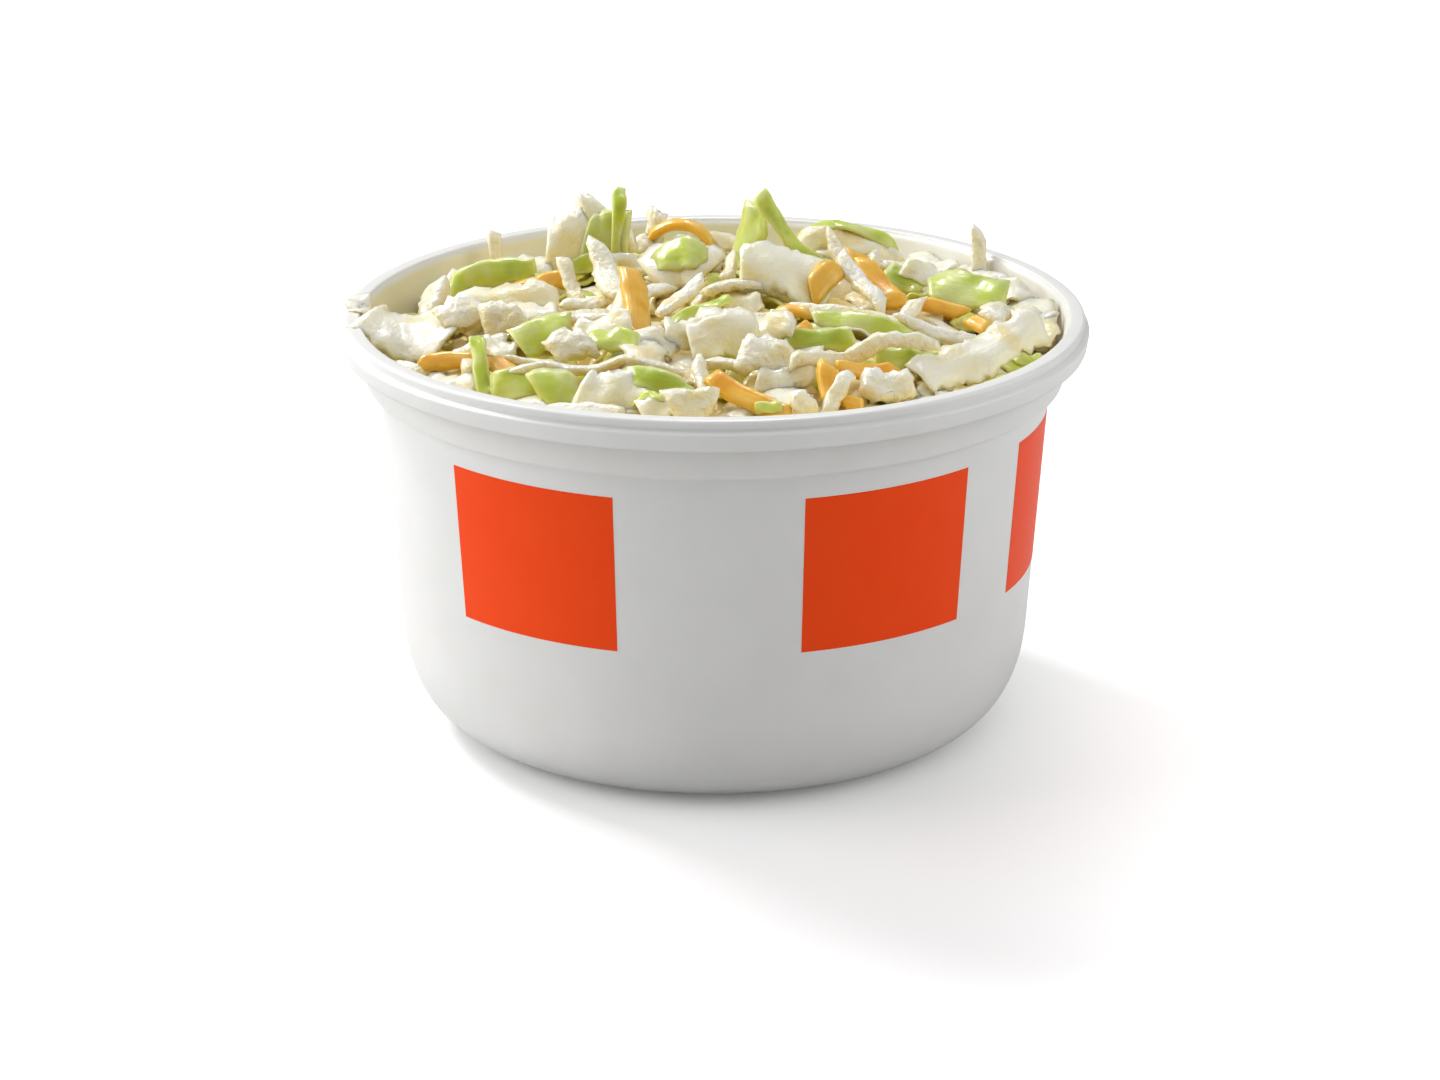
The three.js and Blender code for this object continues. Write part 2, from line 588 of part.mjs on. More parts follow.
// Fillers are spread evenly over the heap on a sunflower's spiral, where the top shreds leave it bare,
// and shortened until the wall is clear.
function fillerShreds() {
  const draw = seededDraw(FILLER_SEED);
  const shreds = [];
  for (let index = 0; index < FILLER_COUNT; index += 1) {
    const kind = FILLER_MIX[index % FILLER_MIX.length];
    const [shortest, longest, narrowest, widest] = FILLER_SIZES[kind];
    const radius = 50 * Math.sqrt((index + 0.5) / FILLER_COUNT);
    const around = radians(index * GOLDEN_ANGLE);
    const shred = {
      kind,
      x: radius * Math.cos(around),
      y: radius * Math.sin(around),
      heading: 360 * draw(),
      run: shortest + (longest - shortest) * draw(),
      width: narrowest + (widest - narrowest) * draw(),
      lift: 0,
      arch: 1.5 * draw(),
      bend: 50 * (draw() - 0.5),
      roll: 16 * (draw() - 0.5),
    };
    while (planLine(shred).some(({ x, y }) => Math.hypot(x, y) > 52)) {
      shred.run *= 0.9;
      shred.x *= 0.99;
      shred.y *= 0.99;
    }
    if (!inPocket(shred) && !underTopShred(shred)) {
      shreds.push(shred);
    }
  }
  return shreds;
}

function topShreds() {
  return TOP_SHREDS.map(([kind, x, y, heading, run, width, lift, arch, bend, roll]) => (
    { kind, x, y, heading, run, width, lift, arch, bend, roll }
  ));
}

// The packed slaw under the shreds: it fills the tub and rises to a lumpy crown.
function coreGeometry() {
  const rings = [];
  const edge = roomRadius(EDGE_LEVEL) - 0.3;
  for (let ring = 1; ring <= CORE_RINGS; ring += 1) {
    const radius = (edge * ring) / CORE_RINGS;
    rings.push({ radius, height: bareHeap });
  }
  for (const [radius, z] of innerProfile(WALL_GAP + 0.2).slice(0, -2).reverse()) {
    rings.push({ radius, height: () => z });
  }
  const positions = [0, 0, bareHeap(0, 0)];
  for (const { radius, height } of rings) {
    for (let sector = 0; sector < CORE_SECTORS; sector += 1) {
      const around = (sector / CORE_SECTORS) * 2 * Math.PI;
      const x = radius * Math.cos(around);
      const y = radius * Math.sin(around);
      positions.push(x, y, height(x, y));
    }
  }
  const bottom = positions.length / 3;
  positions.push(0, 0, positions[positions.length - 1]);
  const indices = [];
  for (let sector = 0; sector < CORE_SECTORS; sector += 1) {
    const next = (sector + 1) % CORE_SECTORS;
    indices.push(0, 1 + sector, 1 + next);
    for (let ring = 0; ring < rings.length - 1; ring += 1) {
      const here = 1 + ring * CORE_SECTORS;
      const outside = here + CORE_SECTORS;
      indices.push(here + sector, outside + sector, outside + next);
      indices.push(here + sector, outside + next, here + next);
    }
    const last = bottom - CORE_SECTORS;
    indices.push(bottom, last + next, last + sector);
  }
  return geometryFrom(positions, indices);
}

// The space that slaw may take: the inside of the tub, and over it out to the lip.
function roomSolid() {
  const inside = innerProfile(WALL_GAP);
  const [, floor] = inside[0];
  const over = TUB_HEIGHT + WALL_GAP;
  const ceiling = TUB_HEIGHT + 30;
  const reach = LIP_RADIUS - WALL_GAP;
  const profile = [[0, floor], ...inside, [inside.at(-1)[0], over], [reach, over], [reach, ceiling], [0, ceiling]];
  return solidFrom(lathe(profile, TUB_SEGMENTS));
}

function slawGeometry() {
  const bed = makeBed();
  let slaw = solidFrom(coreGeometry());
  for (const shred of [...fillerShreds(), ...topShreds()]) {
    const stations = layOnBed(bed, shred);
    slaw = slaw.add(solidFrom(shredGeometry(shred, stations)));
  }
  return largestSkin(geometryOf(slaw.intersect(roomSolid())));
}

function tubGeometry() {
  const floor = BASE_RECESS + WALL;
  return lathe([...outerProfile(), ...innerProfile(0).reverse(), [0, floor]], TUB_SEGMENTS);
}

// ---- the object ----

function part(name, geometry, color, roughness) {
  const material = new THREE.MeshStandardMaterial({ color, roughness, metalness: 0 });
  const mesh = new THREE.Mesh(geometry, material);
  mesh.name = name;
  return mesh;
}

const coleslaw = new THREE.Group();
coleslaw.add(part("tub", tubGeometry(), 0xe9e9e6, 0.35));
coleslaw.add(part("slaw", slawGeometry(), 0xe4e2c0, 0.4));

export default coleslaw;
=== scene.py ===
"""Coleslaw in a round white deli tub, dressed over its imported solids.

The tub is a moulded shell with printed fields. The slaw is laid shred by shred on a bed that rises
as it fills, by the same rule as its solid, and Geometry Nodes sweep each kind of shred along its path.
Sizes are in millimetres until a mesh is made. Meshes and the finishes' sizes are in metres.
"""
from __future__ import annotations

import logging
import math
import random
from dataclasses import dataclass, field
from enum import Enum
from typing import Iterable, Sequence

import bmesh
import bpy
import numpy as np
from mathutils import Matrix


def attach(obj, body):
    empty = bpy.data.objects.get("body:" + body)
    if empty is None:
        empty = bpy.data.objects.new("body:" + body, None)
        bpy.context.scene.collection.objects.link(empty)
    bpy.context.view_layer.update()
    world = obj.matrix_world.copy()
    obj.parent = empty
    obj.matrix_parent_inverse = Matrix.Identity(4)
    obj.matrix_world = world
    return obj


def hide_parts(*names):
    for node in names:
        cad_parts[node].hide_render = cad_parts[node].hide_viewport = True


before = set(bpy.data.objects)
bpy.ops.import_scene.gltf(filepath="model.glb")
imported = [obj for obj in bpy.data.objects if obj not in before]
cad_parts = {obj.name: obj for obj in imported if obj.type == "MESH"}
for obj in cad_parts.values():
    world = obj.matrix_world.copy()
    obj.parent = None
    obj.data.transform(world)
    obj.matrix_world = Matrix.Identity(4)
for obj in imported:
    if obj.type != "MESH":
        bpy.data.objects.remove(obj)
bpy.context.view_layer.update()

LOG = logging.getLogger("coleslaw")
MM = 0.001
NUMBER = "ShaderNodeMath"
VECTOR = "ShaderNodeVectorMath"

Profile = list[tuple[float, float]]


# ---- small helpers -------------------------------------------------------------------------


def linear(colour: str) -> tuple[float, float, float, float]:
    """Turns an sRGB hex colour to linear light.

    Args:
        colour: Six hex digits after a hash.

    Returns:
        Red, green, blue and an alpha of one.
    """
    parts = [int(colour[place:place + 2], 16) / 255 for place in (1, 3, 5)]
    light = [part / 12.92 if part <= 0.04045 else ((part + 0.055) / 1.055) ** 2.4 for part in parts]
    return (*light, 1.0)


def add_node(tree: bpy.types.NodeTree, kind: str, inputs: dict | None = None, **settings) -> bpy.types.Node:
    """Adds one node with its settings, values and links.

    Args:
        tree: The tree that takes the node.
        kind: The node's type name.
        inputs: A value or an output socket for each input, by name or place.
        **settings: Properties of the node itself.

    Returns:
        The new node.
    """
    node = tree.nodes.new(kind)
    for name, value in settings.items():
        setattr(node, name, value)
    for key, value in (inputs or {}).items():
        if isinstance(value, bpy.types.NodeSocket):
            tree.links.new(value, node.inputs[key])
        else:
            node.inputs[key].default_value = value
    return node


def work_out(tree: bpy.types.NodeTree, known: dict, steps: Iterable[tuple]) -> None:
    """Adds a chain of steps of arithmetic, each of which can use the results before it.

    Args:
        tree: The tree that takes the nodes.
        known: Sockets by name. The results join it.
        steps: Each result's name, node type and operation, then a known name or a value for each input.
    """
    for label, kind, operation, *terms in steps:
        inputs = {place: known.get(term, term) for place, term in enumerate(terms)}
        known[label] = add_node(tree, kind, inputs, operation=operation).outputs[0]


def start_material(name: str, values: dict) -> tuple[bpy.types.Material, bpy.types.NodeTree, bpy.types.Node]:
    """Starts a material, with its even values on the shader's own inputs.

    Args:
        name: The material's name.
        values: Values by input name.

    Returns:
        The material, its tree and its shader.
    """
    material = bpy.data.materials.new(name)
    material.use_nodes = True
    shader = material.node_tree.nodes["Principled BSDF"]
    for key, value in values.items():
        shader.inputs[key].default_value = value
    return material, material.node_tree, shader


def lay_colours(tree: bpy.types.NodeTree, lowest: str, layers: Sequence[tuple]) -> bpy.types.NodeSocket:
    """Lays colours over each other, each by its own share.

    Args:
        tree: The material's tree.
        lowest: The colour under all others.
        layers: A share and a colour for each layer, from the bottom up.

    Returns:
        The colour that shows.
    """
    shown = linear(lowest)
    for share, colour in layers:
        inputs = {0: share, 6: shown, 7: linear(colour)}
        shown = add_node(tree, "ShaderNodeMix", inputs, data_type="RGBA").outputs[2]
    return shown


def new_object(name: str, points: np.ndarray, faces: Sequence, edges: Sequence = ()) -> bpy.types.Object:
    """Makes a mesh object at the origin.

    Args:
        name: The object's name.
        points: Corners in millimetres, one row each.
        faces: Corner numbers of each face.
        edges: Corner pairs, where the mesh has loose edges.

    Returns:
        The object, linked to the scene.
    """
    mesh = bpy.data.meshes.new(name)
    mesh.from_pydata((np.asarray(points) * MM).tolist(), list(edges), list(faces))
    mesh.update()
    piece = bpy.data.objects.new(name, mesh)
    bpy.context.scene.collection.objects.link(piece)
    return piece


def store(piece: bpy.types.Object, label: str, values: np.ndarray) -> None:
    """Stores a number or a vector at every corner of a piece.

    Args:
        piece: The piece.
        label: The attribute's name.
        values: One row for each corner.
    """
    vector = values.ndim == 2
    stored = piece.data.attributes.new(label, "FLOAT_VECTOR" if vector else "FLOAT", "POINT")
    stored.data.foreach_set("vector" if vector else "value", values.astype(np.float32).ravel())


def corners_of(piece: bpy.types.Object) -> np.ndarray:
    """Reads the corners of a piece.

    Args:
        piece: The piece.

    Returns:
        The corners in millimetres, one row each.
    """
    points = np.empty(len(piece.data.vertices) * 3)
    piece.data.vertices.foreach_get("co", points)
    return points.reshape(-1, 3) / MM


def ring(radius: float, z: float | np.ndarray, around: np.ndarray) -> np.ndarray:
    """Points round the tub's axis, at angles in radians."""
    return np.column_stack([radius * np.cos(around), radius * np.sin(around), np.zeros(len(around)) + z])


def close_rings(rings: Sequence[np.ndarray], first: float, last: float) -> tuple[np.ndarray, list]:
    """Joins rings to one closed skin, with a point on the axis at each end.

    Args:
        rings: Rings of equally many points.
        first: Height of the point before the first ring.
        last: Height of the point after the last ring.

    Returns:
        The points and the faces.
    """
    sides = len(rings[0])
    points = np.vstack([[(0.0, 0.0, first)], *rings, [(0.0, 0.0, last)]])
    end = len(points) - 1
    faces = []
    for side in range(sides):
        after = (side + 1) % sides
        faces.append((0, 1 + after, 1 + side))
        for low in range(1, end - sides, sides):
            faces.append((low + side, low + after, low + sides + after, low + sides + side))
        faces.append((end - sides + side, end - sides + after, end))
    return points, faces


def shade_smooth(piece: bpy.types.Object) -> None:
    """Shades all faces of a piece smooth."""
    piece.data.polygons.foreach_set("use_smooth", [True] * len(piece.data.polygons))


def face_outwards(piece: bpy.types.Object) -> None:
    """Turns the faces of each closed skin outwards.

    Args:
        piece: The piece.
    """
    work = bmesh.new()
    work.from_mesh(piece.data)
    bmesh.ops.recalc_face_normals(work, faces=work.faces)
    work.to_mesh(piece.data)
    work.free()


def hand_over(piece: bpy.types.Object, slot: str, replaced: str | None) -> None:
    """Hangs a finished piece under the root body, hides the solid that it stands for, and logs what it is.

    Args:
        piece: The finished piece.
        slot: The name of its material slot, which is only logged.
        replaced: The solid that it stands for, if any.
    """
    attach(piece, "root")
    if replaced:
        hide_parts(replaced)
    triangles = sum(len(face.vertices) - 2 for face in piece.data.polygons)
    LOG.info("%s: %d triangles, slot %s, stands for %s", piece.name, triangles, slot, replaced or "itself")


# ---- finishes ------------------------------------------------------------------------------


@dataclass(frozen=True)
class EvenFinish:
    """A material that is much the same all over: two close colours in soft clouds, and a fine relief."""

    name: str
    colour: str
    other: str
    shader: dict[str, object]
    cloud_size: float
    cloud_detail: float
    relief_size: float
    relief_height: float
    cloud_span: tuple[float, float] = (0.0, 1.0)
    relief_node: str = "ShaderNodeTexNoise"
    relief_inputs: dict[str, float] = field(default_factory=dict)
    # The inside tint is painted bounce light from the slaw, laid as a dressing smear.
    painted_bounce_and_smear: str = ""
    painted_bounce_and_smear_shares: tuple[float, float] = (0.8, 0.2)
    painted_bounce_and_smear_fades_by: float = 45 * MM

    def make(self) -> bpy.types.Material:
        """Builds the material, with painted bounce light and smear where a piece marks its corners as inside.

        Returns:
            The material.
        """
        material, tree, shader = start_material(self.name, self.shader)
        place = add_node(tree, "ShaderNodeTexCoord").outputs["Object"]
        cloud = add_node(tree, "ShaderNodeTexNoise", {
            "Vector": place, "Scale": 1 / self.cloud_size, "Detail": self.cloud_detail,
        })
        share = add_node(tree, "ShaderNodeMapRange", {
            "Value": cloud.outputs["Fac"], "From Min": self.cloud_span[0], "From Max": self.cloud_span[1],
        })
        layers = [(share.outputs["Result"], self.other)]
        # Painted light: a yellow tint on the inside for light bounced from the slaw, as a smear that fades to
        # the right.
        if self.painted_bounce_and_smear:
            inside = add_node(tree, "ShaderNodeAttribute", attribute_name="inside").outputs["Fac"]
            fading_to_right = add_node(tree, "ShaderNodeMapRange", {
                "Value": add_node(tree, "ShaderNodeSeparateXYZ", {0: place}).outputs["X"],
                "From Min": 0.0, "From Max": self.painted_bounce_and_smear_fades_by,
                "To Min": self.painted_bounce_and_smear_shares[0], "To Max": self.painted_bounce_and_smear_shares[1],
            }, interpolation_type="SMOOTHSTEP").outputs["Result"]
            painted_bounce_share = add_node(tree, NUMBER, {0: inside, 1: fading_to_right}, operation="MULTIPLY")
            layers.append((painted_bounce_share.outputs[0], self.painted_bounce_and_smear))
        relief = add_node(tree, self.relief_node, {
            "Vector": place, "Scale": 1 / self.relief_size, **self.relief_inputs,
        })
        bump = add_node(tree, "ShaderNodeBump", {"Height": relief.outputs[0], "Distance": self.relief_height})
        tree.links.new(lay_colours(tree, self.colour, layers), shader.inputs["Base Color"])
        tree.links.new(bump.outputs["Normal"], shader.inputs["Normal"])
        return material


@dataclass(frozen=True)
class WetVegetable:
    """A cut vegetable in a thin dressing: see-through flesh with fibres, and a wet film over it."""

    name: str
    flesh: str
    other: str
    deep: str
    edge: str
    fibre: str
    # soaked: painted shade and the dressing's soak, laid deep in the heap and on faces that turn down.
    soak_and_painted_shade: str
    soak_and_painted_shade_share: float = 0.85
    edge_share: float = 0.5
    deep_share: float = 0.85
    deep_above: float = 0.66
    bleached_share: float = 0.6
    bleached_below: float = 0.36
    fibre_share: float = 0.35
    fibre_above: float = 0.75
    fibre_width: float = 0.5 * MM
    fibre_length: float = 9 * MM
    cloud_size: float = 5 * MM
    glow: float = 0.72
    glow_depth: float = 1.3 * MM
    glow_colours: tuple[float, float, float] = (1.0, 0.96, 0.88)
    roughness: float = 0.34
    ior: float = 1.38
    wetness: float = 0.55
    film_roughness: float = 0.14
    film_ior: float = 1.36
    relief: float = 0.12 * MM
    relief_share: float = 0.8
    frost: float = 0.05 * MM
    frost_size: float = 0.7 * MM

    def make(self) -> bpy.types.Material:
        """Builds the material from the attributes that are stored on the shreds.

        Returns:
            The material.
        """
        material, tree, shader = start_material(self.name, {
            "Roughness": self.roughness, "IOR": self.ior, "Subsurface Weight": self.glow,
            "Subsurface Radius": self.glow_colours, "Subsurface Scale": self.glow_depth,
            "Coat Weight": self.wetness, "Coat Roughness": self.film_roughness, "Coat IOR": self.film_ior,
        })
        place = add_node(tree, "ShaderNodeTexCoord").outputs["Object"]
        known = {"grown": add_node(tree, "ShaderNodeAttribute", attribute_name="grown").outputs["Vector"]}
        for label in ("tint", "edge", "deep"):
            known[label] = add_node(tree, "ShaderNodeAttribute", attribute_name=label).outputs["Fac"]
        work_out(tree, known, (
            ("strands", VECTOR, "MULTIPLY", "grown", (1 / self.fibre_width, 1 / self.fibre_length, 1.0)),
            ("rim", NUMBER, "MULTIPLY", "edge", self.edge_share),
            # Painted shade: the straw share, from how deep a corner lies and how far its face turns down.
            ("wet", NUMBER, "MULTIPLY", "deep", self.soak_and_painted_shade_share),
        ))
        strands, cloud, cells = (
            add_node(tree, "ShaderNodeTexNoise", {
                "Vector": over, "Scale": 1 / size, "Detail": detail,
            }).outputs["Fac"]
            for over, size, detail in (
                (known["strands"], 1.0, 2.0), (place, self.cloud_size, 3.0), (place, self.frost_size, 2.0),
            )
        )
        streak, patch, bleach = (
            add_node(tree, "ShaderNodeMapRange", {
                "Value": noise, "From Min": 0.5, "From Max": limit, "To Max": share,
            }, interpolation_type=blend).outputs["Result"]
            for noise, limit, share, blend in (
                (strands, self.fibre_above, self.fibre_share, "LINEAR"),
                (cloud, self.deep_above, self.deep_share, "SMOOTHSTEP"),
                (cloud, self.bleached_below, self.bleached_share, "SMOOTHSTEP"),
            )
        )
        # The last layer is painted shade with the dressing's soak; the layers before are the flesh's own
        # tones.
        colour = lay_colours(tree, self.flesh, (
            (known["tint"], self.other), (bleach, self.edge), (patch, self.deep), (streak, self.fibre),
            (known["rim"], self.edge), (known["wet"], self.soak_and_painted_shade),
        ))
        bump = add_node(tree, "ShaderNodeBump", {
            "Height": strands, "Distance": self.relief, "Strength": self.relief_share,
        })
        frosted = add_node(tree, "ShaderNodeBump", {
            "Height": cells, "Distance": self.frost, "Normal": bump.outputs["Normal"],
        })
        tree.links.new(colour, shader.inputs["Base Color"])
        tree.links.new(frosted.outputs["Normal"], shader.inputs["Normal"])
        return material


# Injection-moulded white polypropylene: satin, a little milky, and yellow on the inside: a dressing smear
# that is also painted light bounced from the slaw, strongest on the left.
POLYPROPYLENE = EvenFinish(
    name="moulded_polypropylene", colour="#E6E6E3", other="#EEEEEC", painted_bounce_and_smear="#E6DCA8",
    shader={"Roughness": 0.3, "IOR": 1.49, "Subsurface Weight": 0.12, "Subsurface Radius": (1.0, 0.95, 0.85),
            "Subsurface Scale": 1.2 * MM},
    cloud_size=9 * MM, cloud_detail=2.0, relief_size=0.5 * MM, relief_height=0.006 * MM,
)
# Dry-offset ink on a plastic wall: a flat, even orange-red with a soft gloss and a dot relief.
OFFSET_INK = EvenFinish(
    name="dry_offset_ink", colour="#FF470A", other="#FF500E",
    shader={"Roughness": 0.42, "IOR": 1.48, "Specular IOR Level": 0.15},
    cloud_size=7 * MM, cloud_detail=3.0, relief_node="ShaderNodeTexVoronoi", relief_size=0.4 * MM,
    relief_height=0.004 * MM,
)
# Mayonnaise dressing with cabbage juice, pooled between the shreds: cream where thick, tan where thin.
DRESSING = EvenFinish(
    name="pooled_dressing", colour="#F0D068", other="#F4E09A",
    shader={"Roughness": 0.28, "IOR": 1.42, "Subsurface Weight": 0.4, "Subsurface Radius": (1.0, 0.85, 0.6),
            "Subsurface Scale": 1.0 * MM},
    cloud_size=4 * MM, cloud_detail=4.0, cloud_span=(0.38, 0.62), relief_inputs={"Detail": 3.0},
    relief_size=1.4 * MM, relief_height=0.5 * MM,
)
# Raw white cabbage: crisp ribs, nearly white where cut, and straw-coloured where the dressing soaks them,
# which is also painted shade low in the heap and on faces that turn down.
WHITE_RIB = WetVegetable(
    name="raw_white_cabbage", flesh="#F0EEE2", other="#ECE8D0", deep="#EEE1AE", edge="#F5F4EE",
    fibre="#F4F3EC", soak_and_painted_shade="#EFD983", frost=0.5 * MM, frost_size=0.9 * MM,
)
# The thin inner leaves: whiter than butter, and the light goes through them.
PALE_LEAF = WetVegetable(
    name="raw_inner_leaf", flesh="#F0EDDC", other="#EDE9CA", deep="#EEDBA1", edge="#F3F2E8",
    fibre="#F3F2E6", soak_and_painted_shade="#EDD57F", fibre_share=0.5, fibre_width=0.9 * MM, cloud_size=8 * MM,
    frost=0.15 * MM,
)
# The outer leaves: fresh yellow-green, pale where the knife went through the rib side.
GREEN_LEAF = WetVegetable(
    name="raw_green_cabbage", flesh="#B4C62A", other="#C8D658", deep="#9EB020", edge="#DCE2AA",
    fibre="#CEDA7E", soak_and_painted_shade="#D0C63E", edge_share=0.8, fibre_share=0.4, fibre_width=1.1 * MM,
    cloud_size=7 * MM, glow_colours=(0.9, 1.0, 0.5),
)
# Raw carrot: orange flesh, yellower where the slice is thin.
CARROT_ROOT = WetVegetable(
    name="raw_carrot", flesh="#EBB412", other="#F0C24A", deep="#E4A20C", edge="#F4CC6A",
    fibre="#F4D27E", soak_and_painted_shade="#E8B01E", edge_share=0.45, fibre_share=0.4, fibre_width=0.6 * MM,
    glow_colours=(1.0, 0.8, 0.45),
)


# ---- the tub -------------------------------------------------------------------------------


@dataclass
class Tub:
    """A round moulded tub: rounded base corner, tapered wall, shoulder, collar and channelled lip."""

    lip_radius: float = 58.5
    height: float = 65.5
    wall: float = 0.9
    lip_drop: float = 4.5
    lip_thickness: float = 1.1
    mouth_radius: float = 55.3
    collar_radius: float = 55.4
    collar_draft: float = 0.13
    shoulder_height: float = 55.5
    radius_at_base: float = 48.8
    draft: float = 0.068
    rounding_across: float = 12.7
    rounding_height: float = 16.4
    rounding_power: float = 2.47
    foot_inner_radius: float = 31.0
    base_recess: float = 1.0
    rounding_steps: int = 20
    segments: int = 288
    field_low: float = 26.8
    field_high: float = 51.4
    field_width_degrees: float = 31.6
    field_middles: tuple[float, ...] = (-32.3, 30.5, 78.0, 140.8, 188.3, 251.1)
    field_columns: int = 26
    ink_proud: float = 0.04
    ink_sunk: float = 0.03

    def body_radius(self, z: float) -> float:
        """Outer radius of the tapered wall at a height."""
        return self.radius_at_base + self.draft * z

    def collar_radius_at(self, z: float) -> float:
        """Outer radius of the collar at a height."""
        return self.collar_radius - self.collar_draft * (self.height - self.lip_drop - z)

    def rounding(self, bottom: float, wall: float, steps: int) -> Profile:
        """The rounded corner between base and wall: a quarter of a superellipse.

        Args:
            bottom: Height of the flat that the corner starts from.
            wall: How far inside the outer wall the line lies.
            steps: Number of steps along the corner.

        Returns:
            Radius and height pairs from the base outwards.
        """
        points = []
        for step in range(steps + 1):
            angle = step / steps * math.pi / 2
            up = 1 - max(0.0, math.cos(angle)) ** (2 / self.rounding_power)
            z = bottom + (self.rounding_height - bottom) * up
            out = math.sin(angle) ** (2 / self.rounding_power)
            points.append((self.body_radius(z) - wall - self.rounding_across * (1 - out), z))
        return points

    def round_corner(self, middle: tuple[float, float], size: float, start: float, end: float) -> Profile:
        """A rounded edge of the profile.

        Args:
            middle: Radius and height of the arc's middle.
            size: Radius of the arc.
            start: First angle in degrees, from outwards towards up.
            end: Last angle in degrees.

        Returns:
            Five points along the arc.
        """
        turns = [math.radians(start + (end - start) * step / 4) for step in range(5)]
        return [(middle[0] + size * math.cos(turn), middle[1] + size * math.sin(turn)) for turn in turns]

    def outer_profile(self) -> Profile:
        """The outside from the middle of the base to the inner edge of the lip.

        Returns:
            Radius and height pairs.
        """
        body, collar, corner = self.body_radius, self.collar_radius_at, self.round_corner
        foot, roof, top = self.height - self.lip_drop, self.height - self.lip_thickness, self.height
        inner, recess, shoulder = self.foot_inner_radius, self.base_recess, self.shoulder_height
        lip, mouth = self.lip_radius, self.mouth_radius
        return [
            # The recess under the base, the foot ring and the rounded base corner.
            (0.0, recess), (inner - 1.2, recess), *corner((inner - 0.2, 0.2), 0.2, 180, 270),
            *self.rounding(0.0, 0.0, self.rounding_steps),
            # The tapered wall, with a point at each edge of the print, and the step under the shoulder.
            (body(self.field_low), self.field_low), (body(self.field_high), self.field_high),
            (body(shoulder - 1.0), shoulder - 1.0), (body(shoulder), shoulder - 0.45),
            (body(shoulder) + 0.25, shoulder - 0.15),
            # The shoulder, the collar and the channel under the lip.
            *corner((collar(shoulder) - 0.5, shoulder + 0.55), 0.5, -90, 0),
            (collar(shoulder + 2), shoulder + 2), (collar(foot), foot),
            (collar(roof) - 0.1, roof - 0.3), (collar(roof) + 0.3, roof),
            (lip - 1.5, roof), (lip - 1.2, roof - 0.3), (lip - 1.2, foot + 0.3),
            # The lip's skirt with its bead, the groove over it, and the rounded top.
            *corner((lip - 0.75, foot + 0.3), 0.45, 180, 360), (lip - 0.16, foot + 1.4),
            *corner((lip - 0.4, top - 2.2), 0.4, -20, 80), (lip - 0.95, top - 1.62), (lip - 1.0, top - 1.3),
            *corner((lip - 1.25, top - 0.55), 0.55, 0, 90), (mouth + 0.7, top),
            *corner((mouth + 0.4, top - 0.4), 0.4, 90, 180),
        ]

    def inner_profile(self, clearance: float, steps: int) -> Profile:
        """The inside from the floor's edge up to the mouth.

        Args:
            clearance: How far the line is drawn in from the plastic.
            steps: Number of steps along the base corner.

        Returns:
            Radius and height pairs.
        """
        wall = self.wall + clearance
        ledge = self.shoulder_height + wall
        mouth_foot = self.height - 1.4
        return [
            *self.rounding(self.base_recess + wall, wall, steps),
            (self.body_radius(ledge) - wall, ledge - 0.5),
            (self.collar_radius_at(ledge) - wall - 0.3, ledge),
            (self.collar_radius_at(mouth_foot) - wall - 0.2, mouth_foot),
            (self.mouth_radius - clearance, self.height - 0.4),
        ]

    def build_shell(self) -> bpy.types.Object:
        """Turns the closed profile round the axis.

        Returns:
            The tub's shell.
        """
        outside = self.outer_profile()
        inside = reversed(self.inner_profile(0.0, self.rounding_steps))
        around = np.arange(self.segments) * 2 * math.pi / self.segments
        rings = [ring(radius, z, around) for radius, z in (*outside[1:], *inside)]
        points, faces = close_rings(rings, self.base_recess, self.base_recess + self.wall)
        shell = new_object("moulded_tub", points, faces)
        store(shell, "inside", np.arange(len(points)) > len(outside) * self.segments)
        face_outwards(shell)
        shade_smooth(shell)
        return shell

    def build_fields(self) -> bpy.types.Object:
        """Makes the printed fields: thin closed patches that sit on the tapered wall.

        Returns:
            All fields as one mesh.
        """
        points, faces = [], []
        section = [(self.field_low, self.ink_proud), (self.field_high, self.ink_proud),
                   (self.field_high, -self.ink_sunk), (self.field_low, -self.ink_sunk)]
        for middle in self.field_middles:
            base = len(points)
            end = base + 4 * self.field_columns
            for column in range(self.field_columns + 1):
                share = column / self.field_columns - 0.5
                turn = math.radians(middle + self.field_width_degrees * share)
                for z, depth in section:
                    radius = self.body_radius(z) + depth
                    points.append((radius * math.sin(turn), -radius * math.cos(turn), z))
            for at in range(base, end, 4):
                for here, after in ((0, 1), (1, 2), (2, 3), (3, 0)):
                    faces.append((at + here, at + after, at + 4 + after, at + 4 + here))
            faces += [tuple(range(base, base + 4)), tuple(range(end, end + 4))]
        fields = new_object("printed_fields", points, faces)
        face_outwards(fields)
        return fields

    def make(self) -> None:
        """Builds and dresses the shell and its print."""
        for piece, finish, slot, replaced in (
            (self.build_shell(), POLYPROPYLENE, "tub_plastic", "tub"),
            (self.build_fields(), OFFSET_INK, "print_ink", None),
        ):
            piece.data.materials.append(finish.make())
            hand_over(piece, slot, replaced)


# ---- the slaw ------------------------------------------------------------------------------


class Kind(Enum):
    """The kinds of shred in the slaw."""

    SHRED = "shred"
    CHUNK = "chunk"
    PALE = "pale"
    GREEN = "green"
    CARROT = "carrot"


@dataclass(frozen=True)
class Cut:
    """How one kind of shred is cut, in millimetres, and how its sweep is roughened."""

    thick: float
    ends: float = 0.7
    cup: float = 0.0
    ruffle: float = 0.0
    taper: float = 0.5
    section_points: int = 14
    blunt: float = 0.18
    wander: float = 1.0
    wrinkle: float = 0.25
    wrinkle_length: float = 3.0
    ragged: float = 1.0
    grain: float = 0.2
    grain_length: float = 1.6
    slant: float = 0.16
    wedge: float = 0.3
    crispness: float = 38.0


